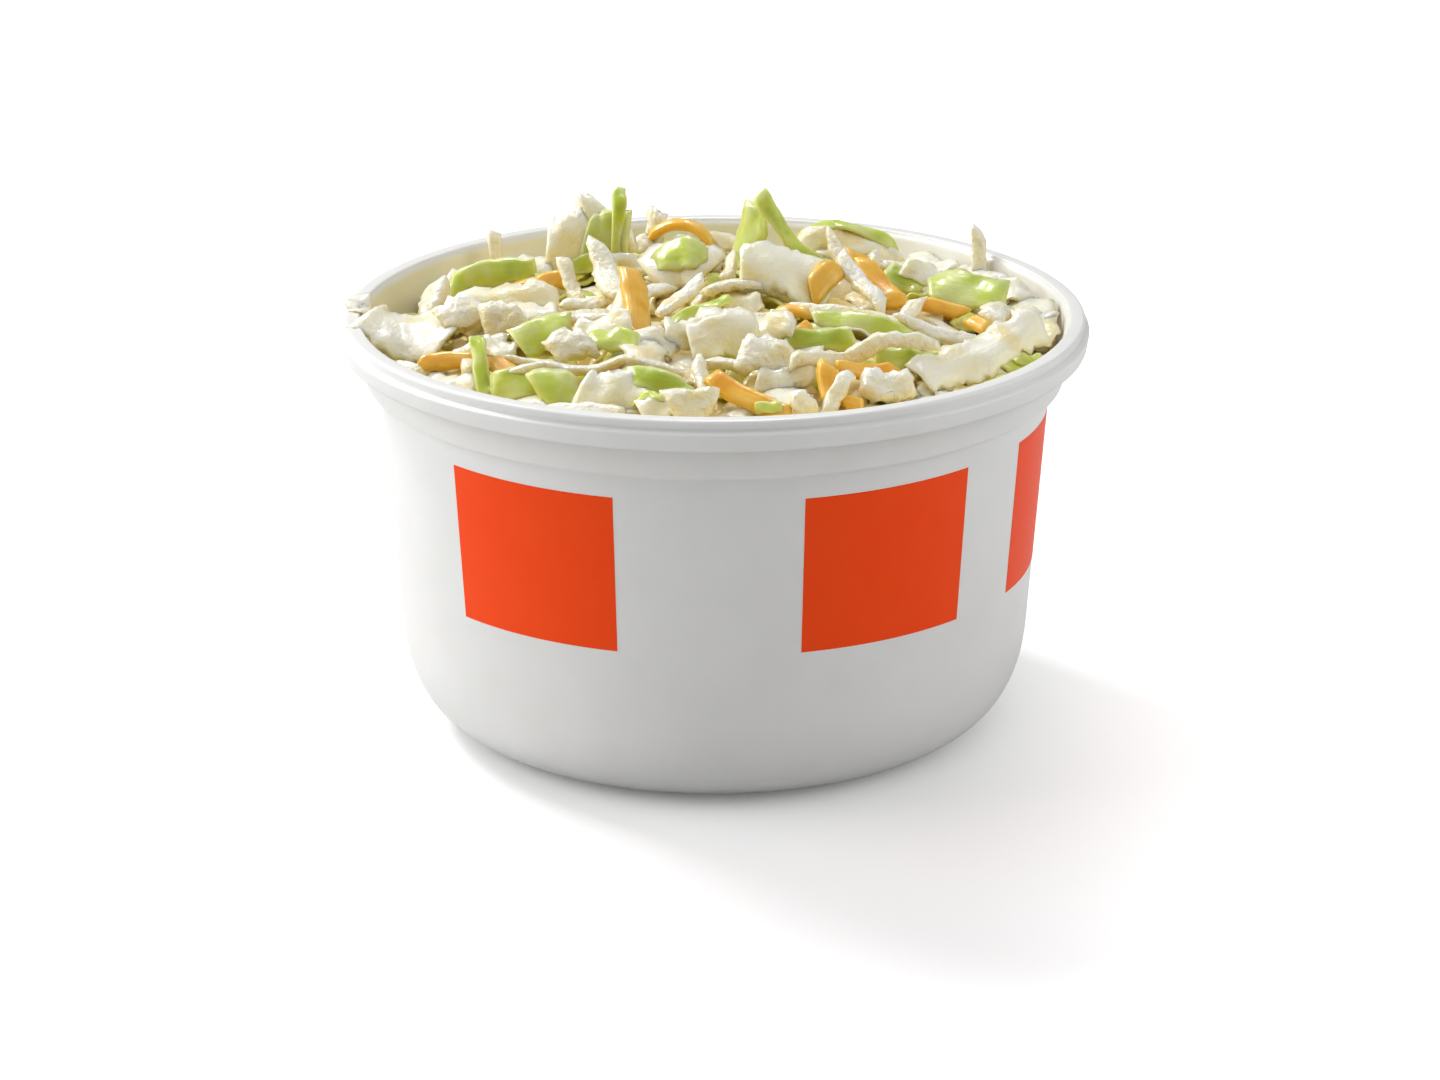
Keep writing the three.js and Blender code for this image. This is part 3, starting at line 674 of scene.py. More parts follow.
CUTS = {
    Kind.SHRED: Cut(thick=1.5, blunt=0.25, ragged=0.8, grain=0.4, slant=0.4, wedge=0.5),
    Kind.CHUNK: Cut(thick=2.6, section_points=26, blunt=0.35, wrinkle=1.2, wrinkle_length=2.6, ragged=1.1,
                    grain=1.0, grain_length=1.2, slant=0.25, wedge=0.5, crispness=70.0),
    Kind.PALE: Cut(thick=0.8, taper=0.35, cup=0.1, ruffle=0.6, section_points=24, wrinkle=1.3,
                   wrinkle_length=3.4),
    Kind.GREEN: Cut(thick=0.8, ends=0.85, taper=0.3, cup=0.06, ruffle=0.5, section_points=24, wrinkle=0.9,
                    wrinkle_length=4.0, ragged=0.5, grain=0.1),
    Kind.CARROT: Cut(thick=1.6, ends=0.8, taper=0.3, blunt=0.16, wrinkle=0.4, ragged=0.3, slant=0.35),
}


@dataclass
class Shred:
    """One shred as it is laid: its middle, heading and bend in plan, its size, and how it stands."""

    kind: Kind
    x: float
    y: float
    heading: float
    run: float
    width: float
    lift: float = 0.0
    arch: float = 0.0
    bend: float = 0.0
    roll: float = 0.0
    station_step: float = 0.8

    def plan_line(self) -> tuple[np.ndarray, np.ndarray, np.ndarray]:
        """The middle line in plan: a gentle arc through the shred's middle.

        Returns:
            Share along the shred, heading in radians, and plan points, for each station.
        """
        count = max(8, math.ceil(self.run / self.station_step))
        share = np.arange(count + 1) / count
        heading = np.radians(self.heading + self.bend * (share - 0.5))
        moves = np.stack([np.cos(heading), np.sin(heading)], axis=1) * (self.run / count)
        points = np.vstack([[0.0, 0.0], np.cumsum(moves[:-1], axis=0)])
        points += np.array([self.x, self.y]) - points[count // 2]
        return share, heading, points


# The shreds that lie on top, laid one by one from the bottom up: kind, x, y of the middle, heading in
# degrees from +X towards +Y, run and width, then lift of the far end, arch, bend and roll in degrees.
TOP_SHREDS = (
    ("shred", 12, 39, 168, 16, 3, 0, 1, 20),
    ("pale", -7, 25, 40, 11, 6, 0, 0.5, 0, 8),
    ("shred", -30, 27, 125, 13, 3, 0, 1, -15),
    ("green", -19, 40, 158, 9, 4.2, 0, 0.5),
    ("carrot", 9, 29, 72, 12, 2.6, 0, 0.5, 12),
    ("shred", 28, 40, 148, 12, 3, 0, 0.5, 10),
    ("pale", 17, 44, 8, 9, 5),
    ("shred", -14, 44, 172, 9, 2.6, 0, 0.5),
    ("carrot", -31, 37, 62, 9, 2.6, 0, 0.5),
    ("green", 37, 31, 105, 9, 4, 0, 0.5),
    ("shred", 0, 41, 95, 9, 3, 0, 0.5, 15),
    ("pale", -41, 24, 72, 11, 5, 0, 0.5),
    ("shred", 41, 21, 62, 12, 2.8, 0, 0.5, -10),
    ("pale", 49.8, 6, 97, 15, 7, 0, 0, 17, -50),
    ("pale", 46.6, 18, 111, 12, 6.4, 0, 0, 14, -46),
    ("shred", 43.4, 27, 120, 12, 3.6, 1.5, 0.5, 12, -30),
    ("pale", 36, 36.5, 133, 10, 6, 0, 0, 12, -40),
    ("pale", 50.6, -4, 84, 9, 5.4, 0, 0, 10, -40),
    ("pale", -46.8, -8.4, 170, 16, 12, 0, 0, 12, -20),
    ("pale", -55.6, 1.4, 96, 8, 4.2, 0, -0.5, 8, -26),
    ("chunk", -44.5, 6, 80, 6, 5, 3.5),
    ("shred", -46.5, -20, -40, 8, 2.6, 0, 0.5, 20, 20),
    ("pale", -34.8, 17, 10, 17.5, 7.5, 0, 1, 12, 38),
    ("green", -35.5, 15, 10, 14, 4.8, 0, 1, 12, 40),
    ("shred", -36.2, 36, 108, 3, 2.4, 7.5),
    ("pale", -33, 2, 10, 17, 5.5, 0, 1, -12, 30),
    ("carrot", -29.2, 11.5, -8, 9, 2.2, 0, 0.5, 0, 20),
    ("carrot", -25.8, 9.5, 15, 4, 3, 0, 0, 0, 30),
    ("pale", -29, -4, 0, 9, 5, 0, 0, 0, 20),
    ("chunk", -38.5, -8.5, 10, 8, 5.5, 0, 0, 0, 35),
    ("chunk", -32.8, -11, -5, 7, 6, 0, 0, 0, 38),
    ("shred", -36, -16, 15, 9, 3, 0, 0.5, 0, 25),
    ("carrot", -40.5, -21, 12, 8, 3.4, 0, 0.5, -20, 30),
    ("pale", -39, -28.5, -30, 9, 4.5, 0, 0, 0, 20),
    ("chunk", -36, -26.5, 0, 4, 3.4, 0, 0, 0, 25),
    ("pale", -33.5, -18.5, -30, 8, 3.6, 0, 0.5, 0, 20),
    ("carrot", -31.8, -28.5, -50, 7, 3.6, 0, 0.5, 0, 25),
    ("green", -35, -29, 104, 9, 2.6, 4),
    ("green", -29.5, -34, -12, 8.5, 5.5, 0, 0, 0, 35),
    ("green", -23.2, -38, 0, 6.4, 6.8, 0, 0, 0, 42),
    ("pale", -23.6, 20.5, 8, 8.2, 10.5, 2, 0, 0, 66),
    ("pale", -19.2, 22.5, 4, 6.5, 14, 3, 0, 0, 76),
    ("green", -17.6, 20.2, 4, 7.4, 10, 1, 0, 0, 70),
    ("green", -15.4, 21, 82, 5, 2.4, 12.2),
    ("green", -21.4, 18, -5, 6, 3.2, 0, 0, 0, 30),
    ("green", -26.2, 15, 12, 5, 3, 0, 0, 0, 30),
    ("shred", -19.5, -1.5, 10, 9, 3, 0, 0, 0, 30),
    ("shred", -16.6, 3, 106, 13, 4.4, 7.5, 0, -8),
    ("shred", -22.4, 5.5, 118, 7, 2.6, 4),
    ("pale", -12.6, 17.5, -14, 8, 2.4, 0, 0.5, 0, 20),
    ("green", -14, 30, -35, 6, 1.8, 0, 1, 0, 10),
    ("chunk", -9.8, 35.2, 84, 3, 3.6, 7.4),
    ("shred", -11.8, 34, 15, 6, 3.4, 0, 0.5, 0, 40),
    ("carrot", -5.4, 33, -16, 11, 2.2, 0, 3.5, -30, 20),
    ("pale", -5.6, 9, -5, 10.5, 9.5, 0, 0.5, 0, 40),
    ("green", -6.1, 9.2, -10, 8.4, 6.6, 0, 1.2, 0, 40),
    ("pale", 2, 33, 0, 12, 4, 0, 1, 0, 35),
    ("pale", -14.6, -13, 82, 8, 3.4, 4),
    ("carrot", -12, -15.5, 95, 14, 4.6, 7, 0.5, 18, 12),
    ("pale", -9.5, -24.5, 0, 7, 4.4, 0, 0, 0, 30),
    ("pale", -3, -21, 30, 11, 6.5, 2, 0, 0, 28),
    ("shred", -5.4, -6, 48, 11, 3, 2, 0.5, 0, 15),
    ("green", -2.6, -12, 36, 12.5, 2.4, 2, 0.5, 0, 22),
    ("green", -23.8, -8.5, -45, 6, 2.2, 0, 0.5, 0, 20),
    ("green", -26.4, -19, 18, 8.5, 6, 0, 0.5, 0, 38),
    ("shred", -27.4, -27, -5, 8, 2, 0, 0, 0, 25),
    ("shred", -19.2, -14.5, 12, 9, 3.4, 0, 0.5, 0, 38),
    ("pale", -17, -20, -10, 9, 5, 0, 0.5, 0, 30),
    ("chunk", -22, -26.5, 5, 6.5, 5.6, 0, 0, 0, 38),
    ("green", -15.6, -26, -18, 8.4, 4.4, 0, 0, 0, 38),
    ("pale", -14.8, -39.5, -6, 10.5, 7, 0, 0, 0, 40),
    ("pale", -8.4, -44.5, 0, 5, 5, 0, 0, 0, 35),
    ("green", -8, -39.5, -20, 10.5, 4, 0, 0, 0, 38),
    ("green", -9.5, -43, -25, 5, 1.8, 0, 0, 0, 30),
    ("shred", -18, -33, 0, 26, 1.7, 0, 0.5, -6, 15),
    ("shred", -1.8, -39, 98, 7, 2.4, 3),
    ("chunk", -3.6, -46, 8, 7, 5.6, 0, 0, 0, 38),
    ("shred", 2.2, 6, 82, 8, 2.4, 4.5),
    ("pale", 10.8, 2.5, 8, 15, 11, 0, 1, 0, 36),
    ("green", 5.6, 24.5, 62, 6, 6.8, 9.5),
    ("green", 13, 20.5, 160, 11.5, 3.2, 9.6, 0, 0, -38),
    ("pale", 21.6, 34, -1, 17, 4.8, 0, 3, 0, 48),
    ("green", 21.8, 35.2, -1, 17, 2.8, 0, 5.4, 0, 50),
    ("shred", 19.8, 24.5, 105, 6, 2.4, 5.5),
    ("shred", 20.5, -10, -8, 21, 3.4, 0, 0.5, -8, 32),
    ("carrot", 17.4, 2.5, 50, 7.5, 4.2, 4, 0, 0, 15),
    ("carrot", 23.4, 19, 20, 5, 4, 0, 0, 0, 38),
    ("shred", 26, 20.5, 80, 5, 2.4, 2.5),
    ("green", 30.2, 16.5, -20, 7, 5.2, 0, 0, 0, 42),
    ("carrot", 26.5, 7, 124, 9.5, 3.4, 4.4, 0, 0, -12),
    ("carrot", 27.6, 0.5, 20, 4.6, 3.4, 0, 0, 0, 35),
    ("shred", 23.4, 2, 124, 12, 3.4, 6, 0, 0, -10),
    ("green", 23, -14.5, -5, 15.5, 4.2, 0, 0.5, -10, 36),
    ("carrot", 12, -11.5, -25, 6, 2, 0, 0.5, 0, 20),
    ("carrot", 13.8, -17, 60, 3.2, 2.2, 0, 0, 0, 20),
    ("green", 10.8, -20, 116, 5, 2.8, 4.5),
    ("green", 16, -21.8, 4, 10.5, 3.8, 0, 0, 25, 38),
    ("pale", 8, -19, -18, 9, 5.4, 0, 0, 0, 30),
    ("pale", 1.2, -23, 24, 11, 7, 1.5, 0.5, 0, 30),
    ("shred", 1.6, -31, -18, 8, 1.8, 0, 1, 0, 20),
    ("shred", -2.3, -32.5, 80, 4, 1.7, 1),
    ("pale", 10.5, -34.5, 8, 9, 5, 0, 0, 0, 30),
    ("chunk", 7.8, -31.5, 5, 8, 6.4, 0, 0, 0, 40),
    ("green", 32.4, -19.5, 24, 9, 2, 0, 0, 0, 22),
    ("green", 27.6, -26.5, 20, 7.4, 4.2, 0, 0, 0, 40),
    ("shred", 22, -29, 20, 24, 2.7, 4.2, 0, -22, 30),
    ("carrot", 5.2, -43, 150, 13.8, 3.6, 0.8, 0, -14, -30),
    ("green", 8, -45.5, -10, 4, 2, 0, 0, 0, 30),
    ("carrot", 17, -37.2, 95, 5, 3.8, 2.8),
    ("carrot", 22.6, -33, 25, 9.5, 3, 1, 0, 0, 30),
    ("carrot", 20.2, -40.5, 10, 3.6, 2.4, 0, 0, 0, 30),
    ("shred", 18.3, -40.5, 52, 6, 2.6, 3.2),
    ("chunk", 13.2, -44.8, 20, 3.6, 3, 0, 0, 0, 30),
    ("chunk", 25.6, -36.5, 8, 8, 5.4, 0, 0, 0, 36),
    ("pale", 34.5, 16.5, -8, 9, 5, 0, 0, 0, 42),
    ("pale", 43, 16, -18, 8, 5, 0, 0, 0, 42),
    ("shred", 33.5, 27, -6, 14, 2.4, 0, 0.5, -8, 40),
    ("shred", 43.2, 30.5, 95, 4, 3, 8.6),
    ("green", 39.8, 8, -14, 12.5, 7.6, 0, 0.5, 0, 46),
    ("pale", 48, 13.5, -42, 8, 4.4, 0, 0, 0, 30),
    ("carrot", 35.4, 0.5, -6, 8, 2.8, 0, 0, 0, 38),
    ("carrot", 41, -4.8, -50, 4, 2.8, 0, 0, 0, 30),
    ("shred", 30.6, -3, 60, 5, 3, 1.5),
    ("shred", 34.2, -13, 2, 13, 3, 0, 0, 0, 30),
    ("pale", 48.2, -3, 54, 14, 5, 1, 0, 10, 18),
    ("pale", 40.5, -22, 43, 27, 7.4, 5.5, 0.5, 12, 20),
    ("green", 48.4, -12, 40, 6, 2.2, 0, 0, 0, 15),
)

# How often each kind comes up among the shreds that fill in below the top ones, and between which
# runs and widths each kind is cut.
FILLER_MIX = ("shred", "pale", "shred", "green", "shred", "chunk", "carrot", "shred", "pale", "shred")
FILLER_SIZES = {
    Kind.SHRED: (12, 26, 2.4, 4.5),
    Kind.CHUNK: (6, 10, 4, 7),
    Kind.PALE: (10, 20, 5, 9),
    Kind.GREEN: (8, 16, 3, 6),
    Kind.CARROT: (9, 18, 2.4, 3.6),
}

# What lies below those: mostly chopped bits, with the spans of their runs and widths.
UNDER_MIX = [Kind.SHRED] * 7 + [Kind.CHUNK] + [Kind.PALE] * 9 + [Kind.GREEN] * 5 + [Kind.CARROT]
UNDER_SIZES = {
    Kind.SHRED: ((7, 16), (2, 3.6)),
    Kind.CHUNK: ((3, 6), (2.5, 4.5)),
    Kind.PALE: ((6, 15), (4, 8)),
    Kind.GREEN: ((6, 13), (3, 6)),
    Kind.CARROT: ((6, 12), (1.8, 3)),
}


class SeededDraw:
    """A repeatable draw of numbers from 0 up to 1, in whole 32-bit steps."""

    def __init__(self, seed: int) -> None:
        """Starts the draw from a seed."""
        self.state = seed & 0xFFFFFFFF

    def __call__(self) -> float:
        """Draws the next number.

        Returns:
            A number from 0 up to 1.
        """
        self.state = (self.state + 0x6D2B79F5) & 0xFFFFFFFF
        state = self.state
        mixed = ((state ^ (state >> 15)) * (state | 1)) & 0xFFFFFFFF
        mixed ^= (mixed + (((mixed ^ (mixed >> 7)) * (mixed | 61)) & 0xFFFFFFFF)) & 0xFFFFFFFF
        return (mixed ^ (mixed >> 14)) / 4294967296


@dataclass
class Bed:
    """The surface that shreds are laid on: a height for every millimetre of the plan."""

    tub: Tub
    lowered: float = 0.0
    reach: int = 60
    wall_gap: float = 0.4
    sink: float = 0.7
    edge_level: float = 59.4
    crown_level: float = 67.4
    crown_power: float = 2.3
    pocket_y: float = 52.0
    pocket_radius: float = 13.0
    pocket_depth: float = 2.4
    stiffness_radius: float = 14.0
    settling_passes: int = 40
    steepest_roll: float = 30.0
    feeler_share: float = 0.4
    propped: float = 0.7
    free_height: float = 3.2
    mouth_gap: float = 0.5
    heights: np.ndarray = field(init=False)

    def __post_init__(self) -> None:
        """Fills the bed with the bare heap, and the lip's level outside the mouth."""
        side = np.arange(-self.reach, self.reach + 1, dtype=float)
        x, y = np.meshgrid(side, side)
        over_lip = np.hypot(x, y) > self.tub.mouth_radius - self.mouth_gap
        lip_level = self.tub.height + self.wall_gap + self.sink
        self.heights = np.where(over_lip, lip_level, self.bare_heap(x, y) - self.lowered)

    def bare_heap(self, x: np.ndarray, y: np.ndarray) -> np.ndarray:
        """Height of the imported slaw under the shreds: a lumpy dome with a dip at the back wall.

        Args:
            x: Places to the right.
            y: Places to the back.

        Returns:
            The heights there.
        """
        radius = np.hypot(x, y) / self.tub.mouth_radius
        dome = self.edge_level + (self.crown_level - self.edge_level) * (1 - radius ** self.crown_power)
        lumps = 0.9 * np.sin(x / 6.1 + 1.3) * np.cos(y / 7.3) + 0.5 * np.sin(x / 3.4) * np.sin(y / 3.9 + 2)
        away = (x / self.pocket_radius) ** 2 + ((y - self.pocket_y) / self.pocket_radius) ** 2
        return dome + lumps * (1 - radius ** 4) - self.pocket_depth * np.exp(-away)

    def height_at(self, x: np.ndarray, y: np.ndarray) -> np.ndarray:
        """Reads the bed between its grid points.

        Args:
            x: Places to the right.
            y: Places to the back.

        Returns:
            The heights there.
        """
        last = len(self.heights) - 1.001
        column, row = (np.clip(np.asarray(way) + self.reach, 0, last) for way in (x, y))
        left, low = np.floor(column).astype(int), np.floor(row).astype(int)
        across, up = column - left, row - low
        near = self.heights[low, left] * (1 - across) + self.heights[low, left + 1] * across
        far = self.heights[low + 1, left] * (1 - across) + self.heights[low + 1, left + 1] * across
        return near * (1 - up) + far * up

    def raise_to(self, x: np.ndarray, y: np.ndarray, z: np.ndarray) -> None:
        """Raises the bed where something lies on it, but not under what stands free of it.

        Args:
            x: Places to the right.
            y: Places to the back.
            z: Heights of its top there.
        """
        last = len(self.heights) - 1
        column, row = (np.clip(np.floor(way + self.reach + 0.5).astype(int), 0, last) for way in (x, y))
        near = z - self.heights[row, column] < self.free_height
        np.maximum.at(self.heights, (row[near], column[near]), z[near])

    def settle(self, heights: np.ndarray, step: float) -> np.ndarray:
        """Lets a shred bridge the hollows under it as far as its stiffness allows.

        Args:
            heights: Bed heights along the shred.
            step: Distance between stations.

        Returns:
            The heights that the shred takes.
        """
        sag = step ** 2 / (2 * self.stiffness_radius)
        line = heights.tolist()
        for _ in range(self.settling_passes):
            for index in range(1, len(line) - 1):
                line[index] = max(line[index], (line[index - 1] + line[index + 1]) / 2 - sag)
        settled = np.array(line)
        smooth = settled.copy()
        smooth[1:-1] = (settled[:-2] + 2 * settled[1:-1] + settled[2:]) / 4
        return smooth

    def lay(self, shred: Shred) -> Strand:
        """Lays a shred on the bed and raises the bed by what it covers.

        Args:
            shred: The shred to lay.

        Returns:
            The path and section that the shred takes.
        """
        thick = CUTS[shred.kind].thick
        share, heading, plan = shred.plan_line()
        reach = shred.width * self.feeler_share
        side = np.stack([-np.sin(heading), np.cos(heading)], axis=1)
        left, right = (self.height_at(*(plan + side * way).T) for way in (reach, -reach))
        slope = float(np.sum((left - right) / (2 * reach) / len(plan)))
        beds = (left + right + 2 * self.height_at(*plan.T)) / 4
        heights = self.settle(beds, shred.run / (len(plan) - 1))
        lean = math.degrees(math.atan(slope))
        roll = math.radians(max(-self.steepest_roll, min(self.steepest_roll, lean)) + shred.roll)
        prop = self.propped * shred.width / 2 * abs(math.sin(math.radians(shred.roll)))
        raised = shred.lift * share ** 1.5 + shred.arch * (1 - (2 * share - 1) ** 2)
        z = heights + thick / 2 - self.sink + prop + raised
        rows = math.ceil(shred.width / shred.station_step) + 1
        for row in range(rows + 1):
            offset = shred.width * (row / rows - 0.5)
            spots = plan + side * (math.cos(roll) * offset)
            self.raise_to(*spots.T, z + math.sin(roll) * offset + thick / 2)
        return Strand(shred, share, np.column_stack([plan, z]), heading, roll)


@dataclass
class Strand:
    """The path that a laid shred takes, with its section at every station."""

    shred: Shred
    share: np.ndarray
    centre: np.ndarray
    heading: np.ndarray
    roll: float
    end_spread: tuple[float, float] = (0.7, 1.25)
    end_thickness: float = 0.55
    slanted_over: float = 3.0
    pale_tip: float = 1.2

    def frames(self) -> tuple[np.ndarray, np.ndarray, np.ndarray]:
        """The directions along, across and out of the shred at each station.

        Returns:
            Three arrays of unit vectors.
        """
        along = np.gradient(self.centre, axis=0)
        along /= np.linalg.norm(along, axis=1, keepdims=True)
        level = np.column_stack([-np.sin(self.heading), np.cos(self.heading), np.zeros(len(self.heading))])
        cosine, sine = math.cos(self.roll), math.sin(self.roll)
        turned = level * cosine + np.cross(along, level) * sine
        turned += along * np.sum(along * level, axis=1, keepdims=True) * (1 - cosine)
        across = turned - along * np.sum(along * turned, axis=1, keepdims=True)
        across /= np.linalg.norm(across, axis=1, keepdims=True)
        return along, across, np.cross(along, across)

    def attributes(self, chance: random.Random) -> dict[str, np.ndarray]:
        """Everything that the sweep reads at the stations.

        Args:
            chance: Draws the tint and the cut of the ends.

        Returns:
            One array for each attribute, lengths in metres.
        """
        cut, width, run = CUTS[self.shred.kind], self.shred.width, self.shred.run
        along, across, out = self.frames()
        level = np.ones(len(self.share))
        first, last = (cut.ends * chance.uniform(*self.end_spread) for _ in range(2))
        ends = np.where(self.share < 0.5, first, last)
        narrowed = ends + (1 - ends) * np.clip(np.sin(np.pi * self.share), 0, 1) ** cut.taper
        place = self.share * run
        from_end = np.minimum(place, run - place)
        rounded = np.sqrt(1 - (1 - np.clip(from_end / (0.5 * cut.thick), 0, 1)) ** 2)
        slant = np.where(self.share < 0.5, chance.uniform(-1, 1), chance.uniform(-1, 1))
        return {
            "along": along,
            "across": across,
            "out": out,
            "half_width": width / 2 * narrowed * MM,
            "half_thick": cut.thick / 2 * (self.end_thickness + (1 - self.end_thickness) * rounded) * MM,
            "cup": cut.cup * width * MM * level,
            "ruffle": cut.ruffle * np.sin(self.shred.x + self.shred.y + self.share * 9) * MM,
            "slant": slant * cut.slant * width * np.clip(1 - from_end / self.slanted_over, 0, 1) * MM,
            "tip": np.clip(1 - from_end / self.pale_tip, 0, 1),
            "wedge": chance.uniform(-cut.wedge, cut.wedge) * level,
            "place": place * MM,
            "tint": chance.random() * level,
        }


# The sweep's sizes: name of the input, field of Cut, and what turns that to metres or radians.
SWEEP_SIZES = (
    ("Edge Bluntness", "blunt", 1.0),
    ("Wander", "wander", MM),
    ("Wrinkle", "wrinkle", MM),
    ("Wrinkle Length", "wrinkle_length", MM),
    ("Raggedness", "ragged", 1.0),
    ("Grain", "grain", MM),
    ("Grain Length", "grain_length", MM),
    ("Crispness", "crispness", math.pi / 180),
)


@dataclass
class Sweep:
    """Geometry Nodes that sweep a blunt, ragged section along every strand of one kind."""

    name: str = "sweep_shreds"
    vectors: tuple[str, ...] = ("section", "centre", "along", "across", "out")
    numbers: tuple[str, ...] = ("half_width", "half_thick", "cup", "ruffle", "slant", "tip", "wedge", "place",
                                "tint")
    wander_size: float = 7 * MM
    tear_pitch: float = 1.5
    widest_tear: float = 2.6 * MM
    rim_from: float = 0.45
    tint_spread: float = 50.0
    tree: bpy.types.NodeTree = field(init=False)
    known: dict = field(init=False)

    def build(self) -> bpy.types.NodeTree:
        """Builds the node tree: each step takes the geometry from the one before it.

        Returns:
            The tree, with its sizes as named inputs.
        """
        self.tree = bpy.data.node_groups.new(self.name, "GeometryNodeTree")
        sockets = {"Geometry": "Geometry", "Section Points": "Int", "Material": "Material",
                   **{name: "Float" for name, *_ in SWEEP_SIZES}}
        for name, kind in sockets.items():
            self.tree.interface.new_socket(name, in_out="INPUT", socket_type=f"NodeSocket{kind}")
        self.tree.interface.new_socket("Geometry", in_out="OUTPUT", socket_type="NodeSocketGeometry")
        given = add_node(self.tree, "NodeGroupInput").outputs
        self.known = {name: given[name] for name in sockets}
        self.known["here"] = add_node(self.tree, "GeometryNodeInputPosition").outputs[0]
        self.run_section()
        self.work_out_places()
        self.place_corners()
        self.add_grain()
        self.crease_and_dress()
        return self.tree

    def run_section(self) -> None:
        """Runs a round section along the paths and keeps each corner's place in the section."""
        path = add_node(self.tree, "GeometryNodeMeshToCurve", {"Mesh": self.known["Geometry"]}).outputs[0]
        circle = add_node(self.tree, "GeometryNodeCurvePrimitiveCircle", {
            "Resolution": self.known["Section Points"], "Radius": 1.0,
        }).outputs[0]
        centred, section = (
            add_node(self.tree, "GeometryNodeStoreNamedAttribute", {
                "Geometry": curve, "Name": label, "Value": self.known["here"],
            }, data_type="FLOAT_VECTOR", domain="POINT").outputs[0]
            for label, curve in (("centre", path), ("section", circle))
        )
        self.known["Geometry"] = add_node(self.tree, "GeometryNodeCurveToMesh", {
            "Curve": centred, "Profile Curve": section, "Fill Caps": True,
        }).outputs[0]

    def work_out_places(self) -> None:
        """Works out where each corner goes on the shred's own flat, cupped, ragged section."""
        known = self.known
        for labels, kind in ((self.vectors, "FLOAT_VECTOR"), (self.numbers, "FLOAT")):
            for label in labels:
                node = add_node(self.tree, "GeometryNodeInputNamedAttribute", {"Name": label}, data_type=kind)
                known[label] = node.outputs["Attribute"]
        parts = add_node(self.tree, "ShaderNodeSeparateXYZ", {0: known["section"]}).outputs
        known.update(x=parts["X"], y=parts["Y"])
        work_out(self.tree, known, (
            # The side runs evenly from one edge (-1) to the other (1). The face is the blunt edge's outline.
            ("inner_x", NUMBER, "MULTIPLY", "x", 0.99999),
            ("angle", NUMBER, "ARCSINE", "inner_x"),
            ("side", NUMBER, "MULTIPLY", "angle", 2 / math.pi),
            ("steep", NUMBER, "ABSOLUTE", "y"),
            ("blunted", NUMBER, "POWER", "steep", "Edge Bluntness"),
            ("up_or_down", NUMBER, "SIGN", "y"),
            ("face", NUMBER, "MULTIPLY", "blunted", "up_or_down"),
            # The flat strip, and how closely its noise repeats.
            ("flat_side", NUMBER, "MULTIPLY", "side", "half_width"),
            ("flat", VECTOR, "MULTIPLY_ADD", "across", "flat_side", "centre"),
            ("fold_pitch", NUMBER, "DIVIDE", 1.0, "Wrinkle Length"),
            ("tear_pitch", NUMBER, "DIVIDE", self.tear_pitch, "Wrinkle Length"),
        ))
        for label, output, inputs in (
            ("folds", "Fac", {"Vector": known["flat"], "Scale": known["fold_pitch"]}),
            ("tears", "Fac", {"Vector": known["flat"], "Scale": known["tear_pitch"], "Detail": 4.0}),
            ("drift", "Color", {"Vector": known["centre"], "Scale": 1 / self.wander_size}),
        ):
            known[label] = add_node(self.tree, "ShaderNodeTexNoise", inputs).outputs[output]
        work_out(self.tree, known, (
            # Torn edges change the width.
            ("torn_share", NUMBER, "SUBTRACT", "tears", 0.5),
            ("torn", NUMBER, "MULTIPLY", "torn_share", "Raggedness"),
            ("narrow", NUMBER, "MINIMUM", "half_width", self.widest_tear),
            ("bite", NUMBER, "MULTIPLY", "narrow", 2.0),
            ("width", NUMBER, "MULTIPLY_ADD", "torn", "bite", "half_width"),
            # The cup, the ruffle and the wrinkles raise the strip, and the skin lies round its middle.
            ("side_squared", NUMBER, "MULTIPLY", "side", "side"),
            ("inwards", NUMBER, "SUBTRACT", 1.0, "side_squared"),
            ("crown", NUMBER, "MULTIPLY", "cup", "inwards"),
            ("ruffled", NUMBER, "MULTIPLY_ADD", "ruffle", "side", "crown"),
            ("fold_share", NUMBER, "SUBTRACT", "folds", 0.5),
            ("rise", NUMBER, "MULTIPLY_ADD", "fold_share", "Wrinkle", "ruffled"),
            ("wedge_share", NUMBER, "MULTIPLY_ADD", "wedge", "side", 1.0),
            ("wedged", NUMBER, "MULTIPLY", "half_thick", "wedge_share"),
            ("height", NUMBER, "MULTIPLY_ADD", "face", "wedged", "rise"),
            # Across, out, along by the slant of the ends, and with the strand's own drift.
            ("out_side", NUMBER, "MULTIPLY", "side", "width"),
            ("slid", NUMBER, "MULTIPLY", "slant", "side"),
            ("drifted", VECTOR, "SUBTRACT", "drift", (0.5, 0.5, 0.5)),
            ("placed_across", VECTOR, "MULTIPLY_ADD", "across", "out_side", "centre"),
            ("placed_out", VECTOR, "MULTIPLY_ADD", "out", "height", "placed_across"),
            ("placed_along", VECTOR, "MULTIPLY_ADD", "along", "slid", "placed_out"),
            ("spot", VECTOR, "MULTIPLY_ADD", "drifted", "Wander", "placed_along"),
            # What tells edges and strands apart.
            ("from_middle", NUMBER, "ABSOLUTE", "side"),
            ("tint_place", NUMBER, "MULTIPLY", "tint", self.tint_spread),
        ))

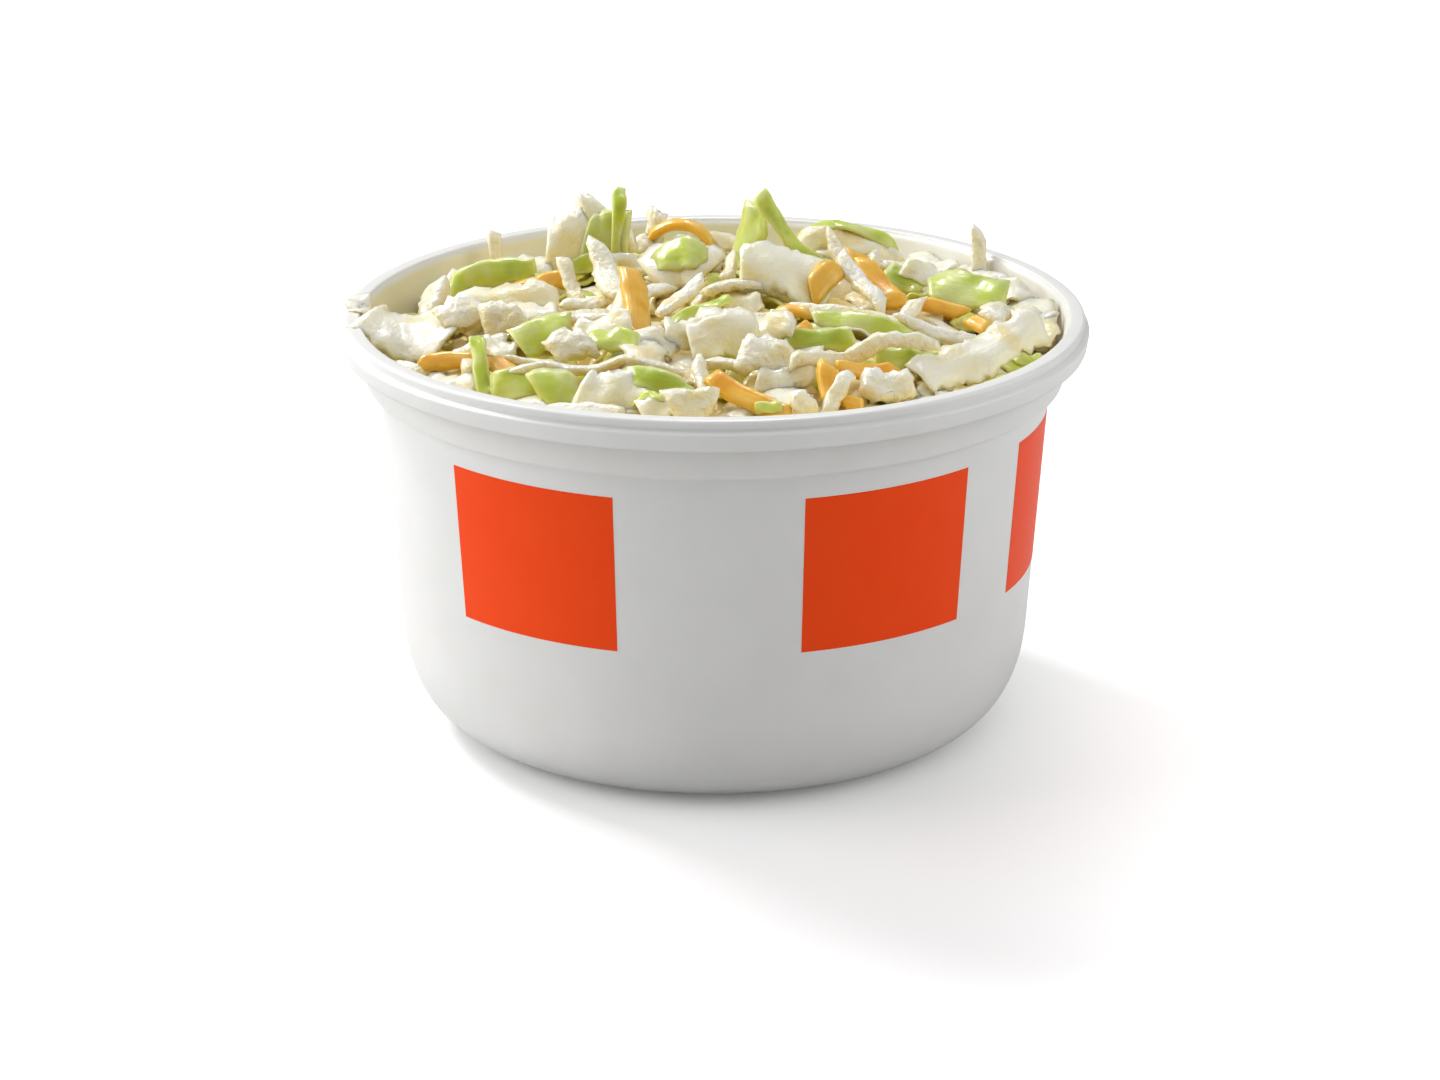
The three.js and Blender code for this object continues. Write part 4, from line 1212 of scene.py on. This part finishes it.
    def place_corners(self) -> None:
        """Moves the corners and stores their edge and growth attributes."""
        known = self.known
        rim = add_node(self.tree, "ShaderNodeMapRange", {
            "Value": known["from_middle"], "From Min": self.rim_from, "From Max": 1.0,
        }, interpolation_type="SMOOTHSTEP").outputs["Result"]
        edge = add_node(self.tree, NUMBER, {0: rim, 1: known["tip"]}, operation="MAXIMUM").outputs[0]
        grown = add_node(self.tree, "ShaderNodeCombineXYZ", {
            "X": known["flat_side"], "Y": known["place"], "Z": known["tint_place"],
        }).outputs[0]
        shaped = add_node(self.tree, "GeometryNodeSetPosition", {
            "Geometry": known["Geometry"], "Position": known["spot"],
        }).outputs[0]
        for label, value, kind in (("edge", edge, "FLOAT"), ("grown", grown, "FLOAT_VECTOR")):
            shaped = add_node(self.tree, "GeometryNodeStoreNamedAttribute", {
                "Geometry": shaped, "Name": label, "Value": value,
            }, data_type=kind, domain="POINT").outputs[0]
        known["Geometry"] = shaped

    def add_grain(self) -> None:
        """Pushes the skin in and out by a small grain."""
        known = self.known
        known["normal"] = add_node(self.tree, "GeometryNodeInputNormal").outputs[0]
        work_out(self.tree, known, [("pitch", NUMBER, "DIVIDE", 1.0, "Grain Length")])
        inputs = {"Vector": known["here"], "Scale": known["pitch"], "Detail": 1.0}
        known["noise"] = add_node(self.tree, "ShaderNodeTexNoise", inputs).outputs["Fac"]
        work_out(self.tree, known, (
            ("noise_share", NUMBER, "SUBTRACT", "noise", 0.5),
            ("grain_height", NUMBER, "MULTIPLY", "noise_share", "Grain"),
            ("push", VECTOR, "MULTIPLY", "normal", "grain_height"),
        ))
        inputs = {"Geometry": known["Geometry"], "Offset": known["push"]}
        known["Geometry"] = add_node(self.tree, "GeometryNodeSetPosition", inputs).outputs[0]

    def crease_and_dress(self) -> None:
        """Shades the skin smooth but for its sharp cuts, and gives it the material."""
        known = self.known
        smooth = add_node(self.tree, "GeometryNodeSetShadeSmooth", {"Geometry": known["Geometry"]}).outputs[0]
        bend = add_node(self.tree, "GeometryNodeInputMeshEdgeAngle").outputs["Unsigned Angle"]
        cut = add_node(self.tree, "FunctionNodeCompare", {0: bend, 1: known["Crispness"]}, data_type="FLOAT",
                       operation="GREATER_THAN").outputs[0]
        crisp = add_node(self.tree, "GeometryNodeSetShadeSmooth", {
            "Geometry": smooth, "Selection": cut, "Shade Smooth": False,
        }, domain="EDGE").outputs[0]
        plain = add_node(self.tree, "GeometryNodeRealizeInstances", {"Geometry": crisp}).outputs[0]
        dressed = add_node(self.tree, "GeometryNodeSetMaterial", {
            "Geometry": plain, "Material": known["Material"],
        }).outputs[0]
        add_node(self.tree, "NodeGroupOutput", {"Geometry": dressed})


def evaluate(piece: bpy.types.Object, tree: bpy.types.NodeTree, values: dict[str, object]) -> None:
    """Runs a node tree on a piece and leaves the plain mesh.

    Args:
        piece: The object that the tree works on.
        tree: The Geometry Nodes tree.
        values: The tree's inputs by name.
    """
    modifier = piece.modifiers.new(tree.name, "NODES")
    modifier.node_group = tree
    for item in tree.interface.items_tree:
        if item.item_type == "SOCKET" and item.in_out == "INPUT" and item.name in values:
            modifier[item.identifier] = values[item.name]
    graph = bpy.context.evaluated_depsgraph_get()
    mesh = bpy.data.meshes.new_from_object(piece.evaluated_get(graph), depsgraph=graph)
    piece.modifiers.remove(modifier)
    piece.data = mesh
    mesh.name = piece.name


@dataclass
class Slaw:
    """The heap: packed slaw, shreds that fill in, and the shreds that lie on top."""

    tub: Tub
    wall_gap: float = 0.4
    wall_steps: int = 8
    pocket_half_width: float = 12.0
    pocket_front: float = 46.0
    filler_count: int = 70
    filler_radius: float = 50.0
    filler_reach: float = 52.0
    filler_spacing: float = 5.6
    filler_arch: float = 1.5
    filler_bend: float = 50.0
    filler_roll: float = 16.0
    filler_shortening: float = 0.9
    filler_drawing_in: float = 0.99
    filler_seed: int = 7
    golden_angle: float = 137.508
    under_seed: int = 11
    under_tries: int = 2600
    under_radius: float = 53.0
    under_reach: float = 54.0
    under_depth: float = 2.8
    under_ceiling: float = 0.6
    under_arch: float = 1.0
    under_bend: float = 50.0
    under_roll: float = 30.0
    smoothing_passes: int = 3
    # Painted shade: how deep a corner lies, and how far its face turns down, set its straw colour.
    painted_shade_from: float = 0.2
    painted_shade_over: float = 2.6
    shaded_below: float = 0.85
    shaded_over: float = 1.1
    shaded_share: float = 0.85
    core_sectors: int = 192
    core_rings: int = 56
    core_edge: float = 1.9
    core_gap: float = 0.6
    core_waves: int = 9
    core_wave_spans: tuple[tuple[float, float], ...] = ((0.35, 1.2), (0, math.pi), (0, 6))
    core_relief: float = 0.22
    over_lip_from: float = 0.8
    over_lip_gap: float = 0.1
    strands: dict[Kind, list[Strand]] = field(init=False)
    surface: Bed = field(init=False)
    sweep_tree: bpy.types.NodeTree = field(init=False)

    def __post_init__(self) -> None:
        """Starts with no strands and the bare surface."""
        self.strands = {kind: [] for kind in Kind}
        self.surface = Bed(self.tub)
        self.sweep_tree = Sweep().build()

    def crowded(self, shred: Shred) -> bool:
        """Whether a shred lies close to a top shred or reaches the pocket of air at the back wall.

        Args:
            shred: The shred.

        Returns:
            True where it has no room.
        """
        x, y = shred.plan_line()[2].T
        if np.any((np.abs(x) < self.pocket_half_width) & (y > self.pocket_front)):
            return True
        gaps = (math.hypot(shred.x - x, shred.y - y) for _, x, y, *_ in TOP_SHREDS)
        return min(gaps) < self.filler_spacing

    def fillers(self) -> Iterable[Shred]:
        """Spreads shreds on a sunflower's spiral where the top shreds leave the heap bare.

        Yields:
            Each shred that fits.
        """
        draw = SeededDraw(self.filler_seed)
        for index in range(self.filler_count):
            kind = Kind(FILLER_MIX[index % len(FILLER_MIX)])
            shortest, longest, narrowest, widest = FILLER_SIZES[kind]
            radius = self.filler_radius * math.sqrt((index + 0.5) / self.filler_count)
            around = math.radians(index * self.golden_angle)
            shred = Shred(
                kind, radius * math.cos(around), radius * math.sin(around),
                heading=360 * draw(),
                run=shortest + (longest - shortest) * draw(),
                width=narrowest + (widest - narrowest) * draw(),
                arch=self.filler_arch * draw(),
                bend=self.filler_bend * (draw() - 0.5),
                roll=self.filler_roll * (draw() - 0.5),
            )
            while np.any(np.hypot(*shred.plan_line()[2].T) > self.filler_reach):
                shred.run *= self.filler_shortening
                shred.x *= self.filler_drawing_in
                shred.y *= self.filler_drawing_in
            if not self.crowded(shred):
                yield shred

    def lay_under(self) -> None:
        """Fills the depth between the dressing and the heap's own level with many small cut bits."""
        chance = random.Random(self.under_seed)
        bed = Bed(self.tub, lowered=self.under_depth)
        for _ in range(self.under_tries):
            kind = chance.choice(UNDER_MIX)
            run, width = (chance.uniform(*span) for span in UNDER_SIZES[kind])
            radius = self.under_radius * math.sqrt(chance.random())
            around = chance.uniform(0, 2 * math.pi)
            shred = Shred(
                kind, radius * math.cos(around), radius * math.sin(around),
                heading=chance.uniform(0, 360), run=run, width=width,
                arch=chance.uniform(0, self.under_arch),
                bend=chance.uniform(-self.under_bend, self.under_bend),
                roll=chance.uniform(-self.under_roll, self.under_roll),
            )
            plan = shred.plan_line()[2]
            room = bed.bare_heap(*plan.T) - bed.height_at(*plan.T) - self.under_ceiling
            tipped = width * abs(math.sin(math.radians(shred.roll))) / 2
            rise = CUTS[kind].thick - bed.sink + shred.arch + tipped
            outside = np.max(np.hypot(*plan.T)) > self.under_reach
            if not outside and np.mean(room) >= rise and np.min(room) >= 0:
                self.strands[kind].append(bed.lay(shred))

    def lay_top(self) -> None:
        """Lays the fillers and the top shreds, and keeps the level that they end with, smoothed."""
        bed = Bed(self.tub)
        for shred in self.fillers():
            self.strands[shred.kind].append(bed.lay(shred))
        for kind, *sizes in TOP_SHREDS:
            self.strands[Kind(kind)].append(bed.lay(Shred(Kind(kind), *sizes)))
        level = bed.heights
        for _ in range(self.smoothing_passes):
            padded = np.pad(level, 1, mode="edge")
            beside = padded[:-2, 1:-1] + padded[2:, 1:-1] + padded[1:-1, :-2] + padded[1:-1, 2:]
            level = (beside + level) / 5
        self.surface.heights = level

    def paint_shade_and_soak(self, piece: bpy.types.Object) -> None:
        """Stores painted shade for corners deep in the heap, where dressing and juice gather, and for those
        facing down.

        Args:
            piece: The piece, in metres.
        """
        normals = np.empty(len(piece.data.vertices) * 3)
        piece.data.vertex_normals.foreach_get("vector", normals)
        x, y, z = corners_of(piece).T
        # Painted shade: deeper under the smoothed level, or facing further down, gives more straw colour.
        deep = np.clip((self.surface.height_at(x, y) - z - self.painted_shade_from) / self.painted_shade_over, 0, 1)
        below = np.clip((self.shaded_below - normals.reshape(-1, 3)[:, 2]) / self.shaded_over, 0, 1)
        store(piece, "deep", np.maximum(deep, self.shaded_share * below))

    def keep_in_tub(self, piece: bpy.types.Object) -> None:
        """Draws the corners of a piece in to the wall, and up to the lip where they lie over it.

        Args:
            piece: The piece, in metres.
        """
        points = corners_of(piece)
        profile = np.array(self.tub.inner_profile(self.wall_gap, self.wall_steps))
        radius = np.hypot(points[:, 0], points[:, 1])
        high = points[:, 2] > self.tub.height - self.over_lip_from
        over = high & (radius > self.tub.mouth_radius - self.wall_gap)
        points[over, 2] = np.maximum(points[over, 2], self.tub.height + self.over_lip_gap)
        room = np.interp(points[:, 2], profile[:, 1], profile[:, 0])
        room[over] = self.tub.lip_radius - self.wall_gap
        points[:, :2] *= np.minimum(1.0, room / np.maximum(radius, 1e-6))[:, None]
        piece.data.vertices.foreach_set("co", (points * MM).ravel())
        piece.data.update()

    def sweep(self, name: str, kinds: Sequence[Kind], finish: WetVegetable, slot: str) -> None:
        """Sweeps all strands of some kinds and joins them to one piece.

        Args:
            name: The piece's name.
            kinds: The kinds that it is made of.
            finish: Its finish.
            slot: Its material slot, which is only logged.
        """
        chance = random.Random(name)
        material = finish.make()
        made = []
        for kind in kinds:
            strands = self.strands[kind]
            points = np.vstack([strand.centre for strand in strands])
            starts = np.cumsum([0] + [len(strand.centre) for strand in strands])
            edges = [(at, at + 1) for start, end in zip(starts, starts[1:]) for at in range(start, end - 1)]
            piece = new_object(f"{name}_{kind.value}", points, [], edges)
            columns = [strand.attributes(chance) for strand in strands]
            for label in columns[0]:
                store(piece, label, np.concatenate([column[label] for column in columns]))
            evaluate(piece, self.sweep_tree, {
                "Section Points": CUTS[kind].section_points,
                "Material": material,
                **{name: getattr(CUTS[kind], size) * unit for name, size, unit in SWEEP_SIZES},
            })
            made.append(piece)
        joined = join(name, made)
        keep_only_attributes(joined, ("tint", "edge", "grown"))
        face_outwards(joined)
        self.keep_in_tub(joined)
        self.paint_shade_and_soak(joined)
        hand_over(joined, slot, "slaw")

    def build_core(self) -> bpy.types.Object:
        """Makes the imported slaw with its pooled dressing: it fills the tub up to just under the shreds.

        Returns:
            The core.
        """
        bed = Bed(self.tub)
        chance = random.Random(self.under_seed)
        inner = self.tub.inner_profile(self.core_gap, self.wall_steps)
        edge = self.tub.mouth_radius - self.core_edge
        around = np.arange(self.core_sectors) * 2 * math.pi / self.core_sectors
        waves = [[chance.uniform(*span) for span in self.core_wave_spans] for _ in range(self.core_waves)]
        rings = []
        for number in range(1, self.core_rings + 1):
            top = ring(edge * number / self.core_rings, 0.0, around)
            x, y = top[:, 0], top[:, 1]
            relief = sum(np.sin(pitch * (x * math.cos(turn) + y * math.sin(turn)) + phase)
                         for pitch, turn, phase in waves)
            top[:, 2] = bed.bare_heap(x, y) - self.under_depth + self.core_relief * relief
            rings.append(top)
        throat = np.minimum(rings[-1][:, 2] - 0.4, self.tub.shoulder_height - 0.3)
        rings.append(ring(inner[-4][0], throat, around))
        rings += [ring(radius, z, around) for radius, z in reversed(inner[:-4])]
        middle = float(bed.bare_heap(0.0, 0.0)) - self.under_depth
        core = new_object("packed_slaw", *close_rings(rings, middle, inner[0][1]))
        face_outwards(core)
        self.keep_in_tub(core)
        shade_smooth(core)
        return core

    def make(self) -> None:
        """Builds and dresses the whole heap."""
        core = self.build_core()
        core.data.materials.append(DRESSING.make())
        hand_over(core, "white_cabbage", "slaw")
        self.lay_under()
        self.lay_top()
        LOG.info("shreds laid: %s", {kind.value: len(laid) for kind, laid in self.strands.items()})
        self.sweep("white_shreds", (Kind.SHRED, Kind.CHUNK), WHITE_RIB, "white_cabbage")
        self.sweep("pale_leaves", (Kind.PALE,), PALE_LEAF, "white_cabbage")
        self.sweep("green_leaves", (Kind.GREEN,), GREEN_LEAF, "green_cabbage")
        self.sweep("carrot_shreds", (Kind.CARROT,), CARROT_ROOT, "carrot")


def join(name: str, pieces: Sequence[bpy.types.Object]) -> bpy.types.Object:
    """Joins pieces to one mesh.

    Args:
        name: The name of the whole.
        pieces: The pieces, which go.

    Returns:
        The joined piece.
    """
    whole = pieces[0]
    if len(pieces) > 1:
        with bpy.context.temp_override(active_object=whole, selected_editable_objects=list(pieces)):
            bpy.ops.object.join()
    whole.name = whole.data.name = name
    return whole


def keep_only_attributes(piece: bpy.types.Object, kept: Sequence[str]) -> None:
    """Removes the attributes that only the sweep needed.

    Args:
        piece: The swept piece.
        kept: Names of the attributes that the material reads.
    """
    needed = {*kept, "position", "sharp_face", "material_index"}
    for label in [attribute.name for attribute in piece.data.attributes]:
        if label not in needed and not label.startswith("."):
            piece.data.attributes.remove(piece.data.attributes[label])


# ---- the studio ----------------------------------------------------------------------------


@dataclass(frozen=True)
class Lamp:
    """A square soft light that faces the slaw.

    The azimuth is in degrees from the front towards the right, the elevation in degrees above the
    floor, the distance from the tub's middle and the side in millimetres, and the power in watts.
    """

    name: str
    azimuth: float
    elevation: float
    distance: float
    side: float
    power: float
    glints_only: bool = False
    aimed_at: float = 40.0

    def hang(self) -> None:
        """Hangs the light."""
        data = bpy.data.lights.new(self.name, "AREA")
        data.size = self.side * MM
        data.energy = self.power
        light = bpy.data.objects.new(self.name, data)
        turn, tilt = math.radians(self.azimuth), math.radians(self.elevation)
        level = self.distance * math.cos(tilt)
        height = self.aimed_at + self.distance * math.sin(tilt)
        light.location = (level * math.sin(turn) * MM, -level * math.cos(turn) * MM, height * MM)
        light.rotation_euler = (math.pi / 2 - tilt, 0, turn)
        if self.glints_only:
            light.visible_diffuse = light.visible_transmission = light.visible_volume_scatter = False
        bpy.context.scene.collection.objects.link(light)


# Two soft fills, a key from behind, and small lamps that only wet gloss mirrors, as bright points.
LAMPS = (
    Lamp("key", -133, 40, 1500, 420, 13.4),
    Lamp("left_fill", -92, 18, 1100, 800, 7.0),
    Lamp("right_fill", 86, 18, 1100, 800, 3.9),
    Lamp("back_glint", 175, 62, 900, 70, 2.8, glints_only=True),
    Lamp("left_glint", -120, 55, 900, 70, 2.8, glints_only=True),
)


@dataclass
class Studio:
    """Camera, floor and lights."""

    target: tuple[float, float, float] = (0.816, 0.0, 27.083)
    distance: float = 625.03
    elevation: float = 19.52
    lens: float = 97.8
    sensor: float = 36.0
    nearest: float = 0.01
    farthest: float = 50.0
    floor_side: float = 12000.0
    floor_colour: str = "#F7F7F7"
    floor_bounce: str = "#D2D2D2"
    floor_roughness: float = 0.9
    floor_gloss: float = 0.1
    # Painted light: the floor's glow lightens the cast shadow, more towards the right, for camera rays only.
    glow: float = 0.12
    painted_glow_at_right: float = 0.45
    painted_glow_from: float = 30.0
    painted_glow_to: float = 90.0
    white: str = "#FFFFFF"
    sky_at_horizon: float = 0.1
    sky_overhead: float = 0.8

    def add_camera(self) -> None:
        """Places the camera in front of the tub, looking a little down."""
        data = bpy.data.cameras.new("camera")
        data.lens, data.sensor_width = self.lens, self.sensor
        data.clip_start, data.clip_end = self.nearest, self.farthest
        camera = bpy.data.objects.new("camera", data)
        tilt = math.radians(self.elevation)
        x, y, z = self.target
        away = self.distance * math.cos(tilt)
        camera.location = (x * MM, (y - away) * MM, (z + self.distance * math.sin(tilt)) * MM)
        camera.rotation_euler = (math.pi / 2 - tilt, 0, 0)
        bpy.context.scene.collection.objects.link(camera)
        bpy.context.scene.camera = camera

    def add_floor(self) -> None:
        """Lays the plain pale floor, with painted glow for the camera: a little, and more towards the right.
        """
        half = self.floor_side / 2
        corners = np.array([(-half, -half, 0), (half, -half, 0), (half, half, 0), (-half, half, 0)])
        floor = new_object("floor", corners, [(0, 1, 2, 3)])
        material, tree, shader = start_material("floor_with_painted_glow", {
            "Roughness": self.floor_roughness, "Specular IOR Level": self.floor_gloss,
            "Emission Color": linear(self.white),
        })
        seen = add_node(tree, "ShaderNodeLightPath").outputs["Is Camera Ray"]
        place = add_node(tree, "ShaderNodeTexCoord").outputs["Object"]
        right = add_node(tree, "ShaderNodeSeparateXYZ", {0: place}).outputs["X"]
        # Painted light: an emission that rises towards the right, where it fades the cast shadow.
        glow = add_node(tree, "ShaderNodeMapRange", {
            "Value": right, "From Min": self.painted_glow_from * MM, "From Max": self.painted_glow_to * MM,
            "To Min": self.glow, "To Max": self.painted_glow_at_right,
        }, interpolation_type="SMOOTHSTEP").outputs["Result"]
        shown = add_node(tree, NUMBER, {0: glow, 1: seen}, operation="MULTIPLY").outputs[0]
        colour = lay_colours(tree, self.floor_bounce, ((seen, self.floor_colour),))
        tree.links.new(colour, shader.inputs["Base Color"])
        tree.links.new(shown, shader.inputs["Emission Strength"])
        floor.data.materials.append(material)

    def add_sky(self) -> None:
        """Puts soft light overhead that fades towards the horizon."""
        world = bpy.data.worlds.new("studio")
        world.use_nodes = True
        tree = world.node_tree
        backdrop = tree.nodes["Background"]
        backdrop.inputs["Color"].default_value = linear(self.white)
        towards = add_node(tree, "ShaderNodeTexCoord").outputs["Generated"]
        height = add_node(tree, "ShaderNodeSeparateXYZ", {0: towards}).outputs["Z"]
        strength = add_node(tree, "ShaderNodeMapRange", {
            "Value": height, "To Min": self.sky_at_horizon, "To Max": self.sky_overhead,
        }).outputs["Result"]
        tree.links.new(strength, backdrop.inputs["Strength"])
        bpy.context.scene.world = world

    def make(self) -> None:
        """Sets up the camera, the floor and the lights."""
        self.add_camera()
        self.add_floor()
        self.add_sky()
        bpy.context.scene.view_settings.view_transform = "Standard"
        for lamp in LAMPS:
            lamp.hang()


def main() -> None:
    """Builds the coleslaw in its studio."""
    logging.basicConfig(level=logging.INFO, format="%(message)s")
    Studio().make()
    tub = Tub()
    tub.make()
    Slaw(tub).make()


if __name__ == "__main__":
    main()
